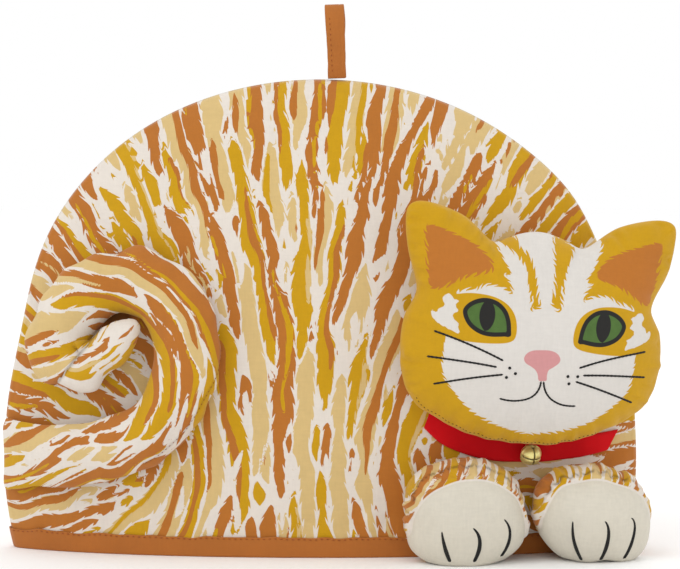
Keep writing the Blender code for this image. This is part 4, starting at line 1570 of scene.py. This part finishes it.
def add_claws(name, surface, claws, thread):
    share = np.linspace(0, 1, 26)
    radii = CLAW_THREAD * np.interp(share, *CLAW_SWELL)
    parts = []
    for claw in claws:
        laid = surface.lay(evenly(bow(claw, 40) * MM, len(share), closed=False), 0.0)
        parts.append(thread_points(laid, radii[: len(laid)], sides=10, flat=0.4))
    add_piece(join_parts(name + "_claws", parts), [thread])


def gather_paw(mesh, toe, toe_arc, seed):
    """Gathers above the toe cap's seam, and a groove and a raised edge along it."""
    points = point_array(mesh)
    above = np.clip(-toe, 0, None)
    gathers = waves(seed, 4.2, 7.5, 9, toe_arc)
    fold = 0.0011 * gathers * np.exp(-above / 11) * smooth_step(above, 0.3, 2.5)
    groove = -0.0011 * hump(toe, -0.9, 0.9)
    roll = 0.0005 * hump(toe, 0.5, 0.7)
    soft = 0.0005 * ripples(seed + 3, 0.018, 0.04)(points[:, 0], points[:, 2])
    displace(mesh, (fold + groove + roll) * smooth_step(toe, -40, -30) + soft, binding_gap)


def line_distance(x, z, line):
    """How far points are from an open line."""
    best = np.full(len(x), np.inf)
    for (ax, az), (bx, bz) in zip(line, line[1:]):
        ex, ez = bx - ax, bz - az
        share = np.clip(((x - ax) * ex + (z - az) * ez) / (ex * ex + ez * ez), 0, 1)
        best = np.minimum(best, np.hypot(x - ax - share * ex, z - az - share * ez))
    return best


def tail_mesh(course, along):
    """Cushion-shaped sections along the tail's course, as a mesh that knows where on it each point is."""
    ahead = unit(np.gradient(course[:, :2], axis=0))
    turn = np.arange(TAIL_SIDES) * 2 * math.pi / TAIL_SIDES
    x, z, width, thickness, lift = (course[:, k : k + 1] for k in range(5))
    out = depth(x, z) + SOFT_GAP + lift + thickness / 2
    across = np.cos(turn) * width / 2
    rise = np.sign(np.sin(turn)) * np.abs(np.sin(turn)) ** TAIL_EDGE * thickness / 2
    grid = np.stack([x - across * ahead[:, 1:], rise - out, z + across * ahead[:, :1]], axis=2)
    poles = [grid[0].mean(axis=0), grid[-1].mean(axis=0)]
    points = rest_against(np.concatenate([grid.reshape(-1, 3), poles]), panel_gap)
    mesh = mesh_from("tail_cushion", points, tube_faces(TAIL_SECTIONS, TAIL_SIDES))
    ends = edge_ends(mesh)
    side = ends % TAIL_SIDES
    on_seam = (side[:, 0] == side[:, 1]) & (side[:, 0] % (TAIL_SIDES // 2) == 0)
    between_rings = (ends < TAIL_SECTIONS * TAIL_SIDES).all(axis=1)
    keep_crisp(mesh, on_seam & between_rings, 0.7)
    set_field(mesh, "chart_along", np.concatenate([np.repeat(along, TAIL_SIDES), along[:1], along[-1:]]))
    set_field(mesh, "chart_across", np.concatenate([across.ravel() / MM, [0, 0]]))
    mesh = subdivided(mesh, 2)
    turn_outwards(mesh)
    return mesh


def gather_tail(mesh, course, along, s, c):
    """Gathers along the inner side of the tail's bends."""
    edge = np.interp(s, along, course[:, 2] / MM / 2) - np.abs(c)
    gathers = ripples(TAIL_SEED, 7, 15, 10)(s, c * 0.6)
    tight = np.interp(s, along, tail_bend(course))
    inner = smooth_step(-np.sign(tight) * c, -4, 12) * np.clip(np.abs(tight) * 30, 0.3, 1.6)
    points = point_array(mesh)
    soft = 0.0006 * ripples(TAIL_SEED + 1, 0.022, 0.05)(points[:, 0], points[:, 2])
    displace(mesh, 0.0009 * gathers * np.exp(-np.clip(edge, 0, None) / 6.5) * inner + soft, panel_gap)


def beyond_fold(x, z):
    """How far points are on the tip's side of the line where it folds over."""
    (ax, az), (bx, bz) = TAIL_FOLD
    return ((z - az) * (bx - ax) - (x - ax) * (bz - az)) / math.hypot(bx - ax, bz - az)


def print_tail(mesh, x, z, s, c, length):
    """The fur print: round the curl, and along the tip that folds over."""
    start = TAIL_FOLD_START * length
    lean = TAIL_LEAN * smooth_step(-z, -150, -112) * np.minimum(x - TAIL_FOLD[0][0], 0)
    low, high = TAIL_PRINT_BOX
    seed = TAIL_PRINT_SEED
    body = paint_strokes(seed, Hook(), x, z - lean, low, high, TAIL_STROKES, TAIL_SHARES, SMALL_BARBS)
    low, high = (-19, start), (19, length)
    tip = paint_strokes(TIP_SEED, Straight(), c, s, low, high, TIP_STROKES, TIP_SHARES, TIP_BARBS)
    folded = (beyond_fold(x, z) > 0) & (s > start) | (s > 0.96 * length)
    store_print(mesh, np.where(folded, tip, body))


def add_tail(material, thread):
    """A stuffed tail that curls up and round, with its tip folded over."""
    course = evenly(through(TAIL_COURSE, 900, closed=False), TAIL_SECTIONS, closed=False) * MM
    along = lengths_along(course[:, :2]) / MM
    mesh = tail_mesh(course, along)
    s, c = get_field(mesh, "chart_along"), get_field(mesh, "chart_across")
    gather_tail(mesh, course, along, s, c)
    points = point_array(mesh)
    x, z = points[:, 0] / MM, points[:, 2] / MM
    turning = (s > TAIL_FOLD_START * along[-1]) & (z < TAIL_FOLD[0][1] + 2) & (normal_array(mesh)[:, 1] < 0)
    fold_line = hump(beyond_fold(x, z), 0, 0.9) * turning
    points[:, 1] += TAIL_FOLD_DEPTH * fold_line
    put_points(mesh, rest_against(points, panel_gap))
    print_tail(mesh, x, z, s, c, along[-1])
    seam = line_distance(x, z, through(TAIL_SEAM, 120, closed=False))
    # painted shade: dark lines along the tail's seam and the tip's fold, which also sink the bump there
    seam_groove_shade = 0.3 * hump(seam, 0, 0.7) * (normal_array(mesh)[:, 1] < 0)
    set_field(mesh, "crease_and_shade", np.maximum(0.4 * fold_line, seam_groove_shade))
    line = evenly(through(TAIL_SEAM, 200, closed=False) * MM, 260, closed=False)
    laid = Surface(mesh, Matrix.Identity(4)).lay(line, STITCH_LIFT)
    add_piece(join_parts("tail_stitches", stitch_row(laid, *TAIL_STITCH)), [thread])
    for name in ("chart_along", "chart_across"):
        mesh.attributes.remove(mesh.attributes[name])
    piece = add_piece(mesh, [material], ("tail",))
    return piece


def tail_bend(course):
    """How sharply the tail's middle line turns, per millimetre, positive to its left."""
    step = np.gradient(course[:, :2], axis=0)
    heading = np.unwrap(np.arctan2(step[:, 1], step[:, 0]))
    return np.gradient(heading) / np.linalg.norm(step, axis=1) * MM


# Binding, hanging loop and collar


def hem_section(turns, z):
    """The panel's outer face at a height, from its left seam to its right one: x and y."""
    width = float(half_width(np.array(z)))
    x = width * np.sin(turns)
    rolled = np.clip((width - np.abs(x)) / SEAM_ROLL, 0, 1)
    turned = np.sqrt(1 - (1 - rolled) ** 2)
    stand = depth(x, np.full_like(x, z)) - SEAM_HALF * (1 - turned)
    return np.stack([x, -stand], axis=1)


def beside(section, distance):
    """A horizontal line moved sideways: outwards from the cosy where distance is positive."""
    step = unit(np.gradient(section, axis=0))
    moved = section + np.stack([step[:, 1], -step[:, 0]], axis=1) * np.reshape(distance, (-1, 1))
    moved[:, 1] = np.minimum(moved[:, 1], -GAP / 2)
    return moved


def binding_profile():
    """Round the fold: how far outside the panel's face, and how high, in metres."""
    outer, inner = GAP + BINDING_CLOTH, -WADDED_CLOTH - GAP - BINDING_CLOTH
    top, soft = SEWN_BINDING, BINDING_CLOTH
    rise = np.linspace(0.0011, top - 0.0005, 7)
    down = rise[::-1]
    outside = [(outer, z) for z in down] + [(outer - d, z) for d, z in FOLD_CORNER]
    floor = [(d, 0.0) for d in np.linspace(outer - 0.002, inner + 0.002, 4)]
    inside = [(inner + d, z) for d, z in reversed(FOLD_CORNER)] + [(inner, z) for z in rise]
    inner_lip = [(inner + d, top + z) for d, z in FOLD_LIP]
    within = [(inner + soft, z) for z in down]
    within += [(d, BINDING_CLOTH - 0.00005) for d in np.linspace(inner + soft, outer - soft, 5)]
    within += [(outer - soft, z) for z in rise]
    outer_lip = [(outer - d, top + z) for d, z in reversed(FOLD_LIP)]
    return outside + floor + inside + inner_lip + within + outer_lip


def add_binding(name, seed, back, cloth, thread):
    """Bias tape folded over a hem, with a row of stitches along its upper edge."""
    turns = np.linspace(-math.pi / 2, math.pi / 2, 320)
    rings = []
    for outside, z in binding_profile():
        section = hem_section(turns, max(z, 0.0))
        arc = lengths_along(section)
        ends = smooth_step(np.minimum(arc, arc[-1] - arc), 0.0, 0.008)
        wave = waves(seed, 0.012, 0.03, 9, arc) * ends
        sag = 0.00022 * wave * (outside > 0) * smooth_step(z, 0.002, 0.012)
        line = beside(section, outside + sag)
        lift = 0.00035 * wave * smooth_step(z, SEWN_BINDING - 0.0035, SEWN_BINDING)
        rings.append(np.stack([line[:, 0], line[:, 1], z + lift], axis=1))
    grid = np.array(rings)
    points = grid.reshape(-1, 3)
    row = evenly(0.7 * grid[0] + 0.3 * grid[1] - (0, 0.0001, 0), 900, closed=False)[14:-14]
    stitches = stitch_row(row, *BINDING_STITCH)
    if back:
        points = points * (1, -1, 1)
        stitches = [(dash * (1, -1, 1), [tuple(reversed(face)) for face in ends]) for dash, ends in stitches]
    mesh = mesh_from(name + "_tape", points, band_faces(*grid.shape[:2]))
    piece = add_piece(mesh, [cloth], (name,))
    add_piece(join_parts(name + "_stitches", stitches), [thread])
    return piece


def add_hanging_loop(material, thread):
    """Folded tape bent into a teardrop, standing on the top seam."""
    count = 120
    angles = 2 * math.pi * np.arange(count) / count
    rise = LOOP_RISE - 1.5 * TAPE_CLOTH
    bulge = LOOP_SPREAD * np.sin(angles) * np.sin(angles / 2)
    inner = np.stack([bulge, TAPE_CLOTH / 2 + rise * (1 - np.cos(angles)) / 2], axis=1)
    step = unit(np.roll(inner, -1, axis=0) - np.roll(inner, 1, axis=0))
    outward = np.stack([step[:, 1], -step[:, 0]], axis=1)
    half = TAPE_WIDTH / 2
    waver = 0.00025 * waves(LOOP_SEED, 0.014, 0.03, 12, lengths_along(inner))
    narrow = np.interp(inner[:, 1], (0, rise), LOOP_NARROWING)
    rows = []
    for side, inset, through_cloth in LOOP_SECTION:
        line = inner + outward * TAPE_CLOTH * through_cloth
        sideways = side * (half - inset) * narrow + waver
        rows.append(np.stack([sideways, line[:, 0], np.maximum(line[:, 1], 0)], axis=1))
    place = Matrix.Translation((LOOP_ACROSS, 0, HEIGHT + SOFT_GAP)) @ Matrix.Rotation(LOOP_LEAN, 4, "Y")
    points = placed(np.array(rows).reshape(-1, 3), place)
    faces = quads(len(rows), count, wrap_rows=True, wrap_columns=True)
    mesh = mesh_from("hanging_loop_tape", points, faces)
    along = np.linspace(0.004, rise - 0.003, 90)
    left_edge = LOOP_STITCH_INSET - half * np.interp(along, (0, rise), LOOP_NARROWING)
    row = [place @ Vector((across, 0, up)) for across, up in zip(left_edge, along)]
    laid = Surface(mesh, Matrix.Identity(4)).lay([(point.x, point.z) for point in row], STITCH_LIFT)
    stitches = join_parts("hanging_loop_stitches", stitch_row(laid, *LOOP_STITCH))
    add_piece(stitches, [thread])
    piece = add_piece(mesh, [material], ("hanging_loop",))
    return piece


def add_collar(material):
    """A red band on the front panel, under the head."""
    edge_x, edge_z, width = evenly(through(COLLAR_EDGE, 300, closed=False), 190, closed=False).T * MM
    slope = np.arctan2(np.gradient(edge_z), np.gradient(edge_x))
    left, right = COLLAR_END_SLANT
    ends = (edge_x[0], edge_x[0] + 0.03, edge_x[-1] - 0.03, edge_x[-1])
    lean = np.interp(edge_x, ends, (left, 0, 0, right))
    share = np.linspace(0, 1, 15)
    edge = np.clip(np.minimum(share, 1 - share) / 0.05, 0, 1)
    top = SOFT_GAP + COLLAR_CLOTH * (0.45 + 0.55 * np.sqrt(1 - (1 - edge) ** 2))
    profile = list(zip(share, top)) + [(s, SOFT_GAP) for s in share[::-1]]
    ease = ripples(COLLAR_SEED, 0.02, 0.05)
    rows = []
    for place, stand in profile:
        x = edge_x + width * place * (lean * np.cos(slope) - np.sin(slope) * (lean == 0))
        z = edge_z + width * place * np.cos(slope)
        loose = 0.00045 * (1 + ease(x, z)) * (stand > SOFT_GAP)
        rows.append(np.stack([x, -depth(x, z) - stand - np.clip(loose, 0, 0.001), z], axis=1))
    points = np.array(rows).reshape(-1, 3)
    mesh = mesh_from("collar_band", points, band_faces(len(profile), len(edge_x)))
    piece = add_piece(mesh, [material], ("collar",))
    return piece


def bell_ball(rows, sides):
    """Two halves with a rolled ridge and crossed slots, and how far in a slot each point is."""
    turn = np.arange(sides) * 2 * math.pi / sides
    height = np.cos(math.pi * (np.arange(rows) + 0.5) / rows)
    ridge = BELL_RIDGE * hump(height * BELL_RADIUS, 0, 0.00042)
    radius = (BELL_RADIUS * np.sqrt(1 - height**2) + ridge)[:, None]
    up = np.repeat(BELL_RADIUS * height[:, None], sides, axis=1)
    ball = np.stack([radius * np.cos(turn), radius * np.sin(turn), up], axis=2).reshape(-1, 3)
    down = ball[:, 2] < -BELL_RADIUS * 0.18
    slots = np.zeros(len(ball))
    for a, b in ((0, 1), (1, 0)):
        near = hump(ball[:, a], 0, BELL_SLOT, 4) * down
        end = hump(np.hypot(ball[:, a], ball[:, 2] + BELL_RADIUS * 0.28), 0, BELL_SLOT_END, 4)
        end *= np.abs(ball[:, b]) > BELL_RADIUS * 0.5
        ball *= 1 - (BELL_SLOT_DEPTH / BELL_RADIUS) * np.maximum(near, end)[:, None]
        slots = np.maximum(slots, np.maximum(near, end))
    poles = [(0, 0, BELL_RADIUS), (0, 0, -BELL_RADIUS * 0.86)]
    return np.concatenate([ball, poles]), np.concatenate([slots, (0, 1)])


def bell_eye(rows, sides):
    """The wire ring on top of the ball."""
    turn = (np.arange(rows) * 2 * math.pi / rows)[:, None]
    wire_turn = np.arange(sides) * 2 * math.pi / sides
    ring = BELL_EYE_RADIUS + BELL_EYE_WIRE * np.cos(wire_turn)
    through_it = np.repeat(BELL_EYE_WIRE * np.sin(wire_turn)[None], rows, axis=0)
    up = BELL_RADIUS + BELL_EYE_LIFT + np.sin(turn) * ring
    return np.stack([through_it, np.cos(turn) * ring, up], axis=2).reshape(-1, 3)


def add_bell(material):
    """A round jingle bell on the collar."""
    ball, slots = bell_ball(BELL_ROWS, BELL_SIDES)
    eye = bell_eye(BELL_EYE_ROWS, BELL_EYE_SIDES)
    ring = quads(BELL_EYE_ROWS, BELL_EYE_SIDES, wrap_rows=True, wrap_columns=True)
    parts = [(ball, tube_faces(BELL_ROWS, BELL_SIDES)), (eye, ring)]
    mesh = join_parts("bell_round", parts)
    set_field(mesh, "slot", np.concatenate([slots, np.zeros(len(eye))]))
    behind = float(depth(np.array(BELL_ACROSS), np.array(BELL_UP))) + SOFT_GAP + COLLAR_CLOTH + GAP
    place = Matrix.Translation((BELL_ACROSS, -behind - BELL_RADIUS - BELL_RIDGE, BELL_UP))
    place = place @ Matrix.Rotation(BELL_TILT[2], 4, "Z") @ Matrix.Rotation(BELL_TILT[0], 4, "X")
    put_points(mesh, placed(point_array(mesh), place))
    return add_piece(mesh, [material], ("bell",))


# Studio


def add_studio():
    scene = bpy.context.scene
    scene.view_settings.view_transform = "Standard"
    world = bpy.data.worlds.new("studio")
    scene.world = world
    world.use_nodes = True
    sky = world.node_tree.nodes["Background"]
    sky.inputs["Color"].default_value = (1.0, 1.0, 1.0, 1)
    sky.inputs["Strength"].default_value = 1.0

    data = bpy.data.cameras.new("camera")
    data.lens = FOCAL_PIXELS * SENSOR_MM / PHOTO_WIDTH
    data.sensor_width = SENSOR_MM
    data.clip_start, data.clip_end = 0.05, 20
    camera = bpy.data.objects.new("camera", data)
    scene.collection.objects.link(camera)
    target = Vector(CAMERA_TARGET) + Vector(MIDDLE)
    back = Vector((0, -math.cos(CAMERA_ELEVATION), math.sin(CAMERA_ELEVATION)))
    camera.location = target + back * CAMERA_DISTANCE
    camera.rotation_mode = "QUATERNION"
    camera.rotation_quaternion = (-back).to_track_quat("-Z", "Y")
    scene.camera = camera

    floor_mesh = mesh_from("floor", [(-3, -3, 0), (3, -3, 0), (3, 3, 0), (-3, 3, 0)], [(0, 1, 2, 3)])
    floor_mesh.materials.append(make_floor_material())
    floor = bpy.data.objects.new("floor", floor_mesh)
    scene.collection.objects.link(floor)

    lights = (
        # name, place, size, power
        ("key_light", (-0.9, -1.2, 1.9), 1.1, 8.0),
        ("fill_light", (1.2, -1.4, 0.7), 1.4, 0.5),
        ("back_light", (0.3, 1.2, 1.4), 1.2, 3.0),
    )
    for name, place, size, power in lights:
        light = bpy.data.lights.new(name, "AREA")
        light.size = size
        light.energy = power
        lamp = bpy.data.objects.new(name, light)
        scene.collection.objects.link(lamp)
        lamp.location = place
        aim = Vector((0, 0, 0.12)) - Vector(place)
        lamp.rotation_mode = "QUATERNION"
        lamp.rotation_quaternion = aim.to_track_quat("-Z", "Y")


def build():
    add_studio()
    printed = make_print_material()
    paw_cotton = make_paw_material()
    lining = make_plain_material("lining_cotton", LINING_CREAM)
    plain = make_plain_material("plain_cotton", PLAIN_BROWN)
    ribbon = make_plain_material("collar_cotton", RIBBON_RED, slub=0.05, sheen=0.03)
    black_thread = make_thread_material("black_thread", THREAD_BLACK)
    dark_thread = make_thread_material("brown_thread", THREAD_DARK)
    rust_thread = make_thread_material("rust_thread", THREAD_RUST)
    for name, seed, print_seed, back in (("front_panel", 11, 37, False), ("back_panel", 23, 33, True)):
        piece = add_panel(name, seed, print_seed, back, [printed, lining])
    add_binding("binding_front", 61, False, plain, rust_thread)
    add_binding("binding_back", 67, True, plain, rust_thread)
    add_hanging_loop(plain, rust_thread)
    add_tail(printed, rust_thread)
    add_head(make_face_material(), black_thread, dark_thread)
    paws = (
        ("paw_left", LEFT_PAW_OUTLINE, LEFT_PAW_OUT, LEFT_PAW_YAW, LEFT_TOE_EDGE, LEFT_CLAWS, 41),
        ("paw_right", RIGHT_PAW_OUTLINE, RIGHT_PAW_OUT, RIGHT_PAW_YAW, RIGHT_TOE_EDGE, RIGHT_CLAWS, 43),
    )
    for name, outline, out, yaw, toe_edge, claws, seed in paws:
        add_paw(name, outline, out, yaw, toe_edge, claws, seed, [paw_cotton], black_thread)
    add_collar(ribbon)
    add_bell(make_brass_material())


build()
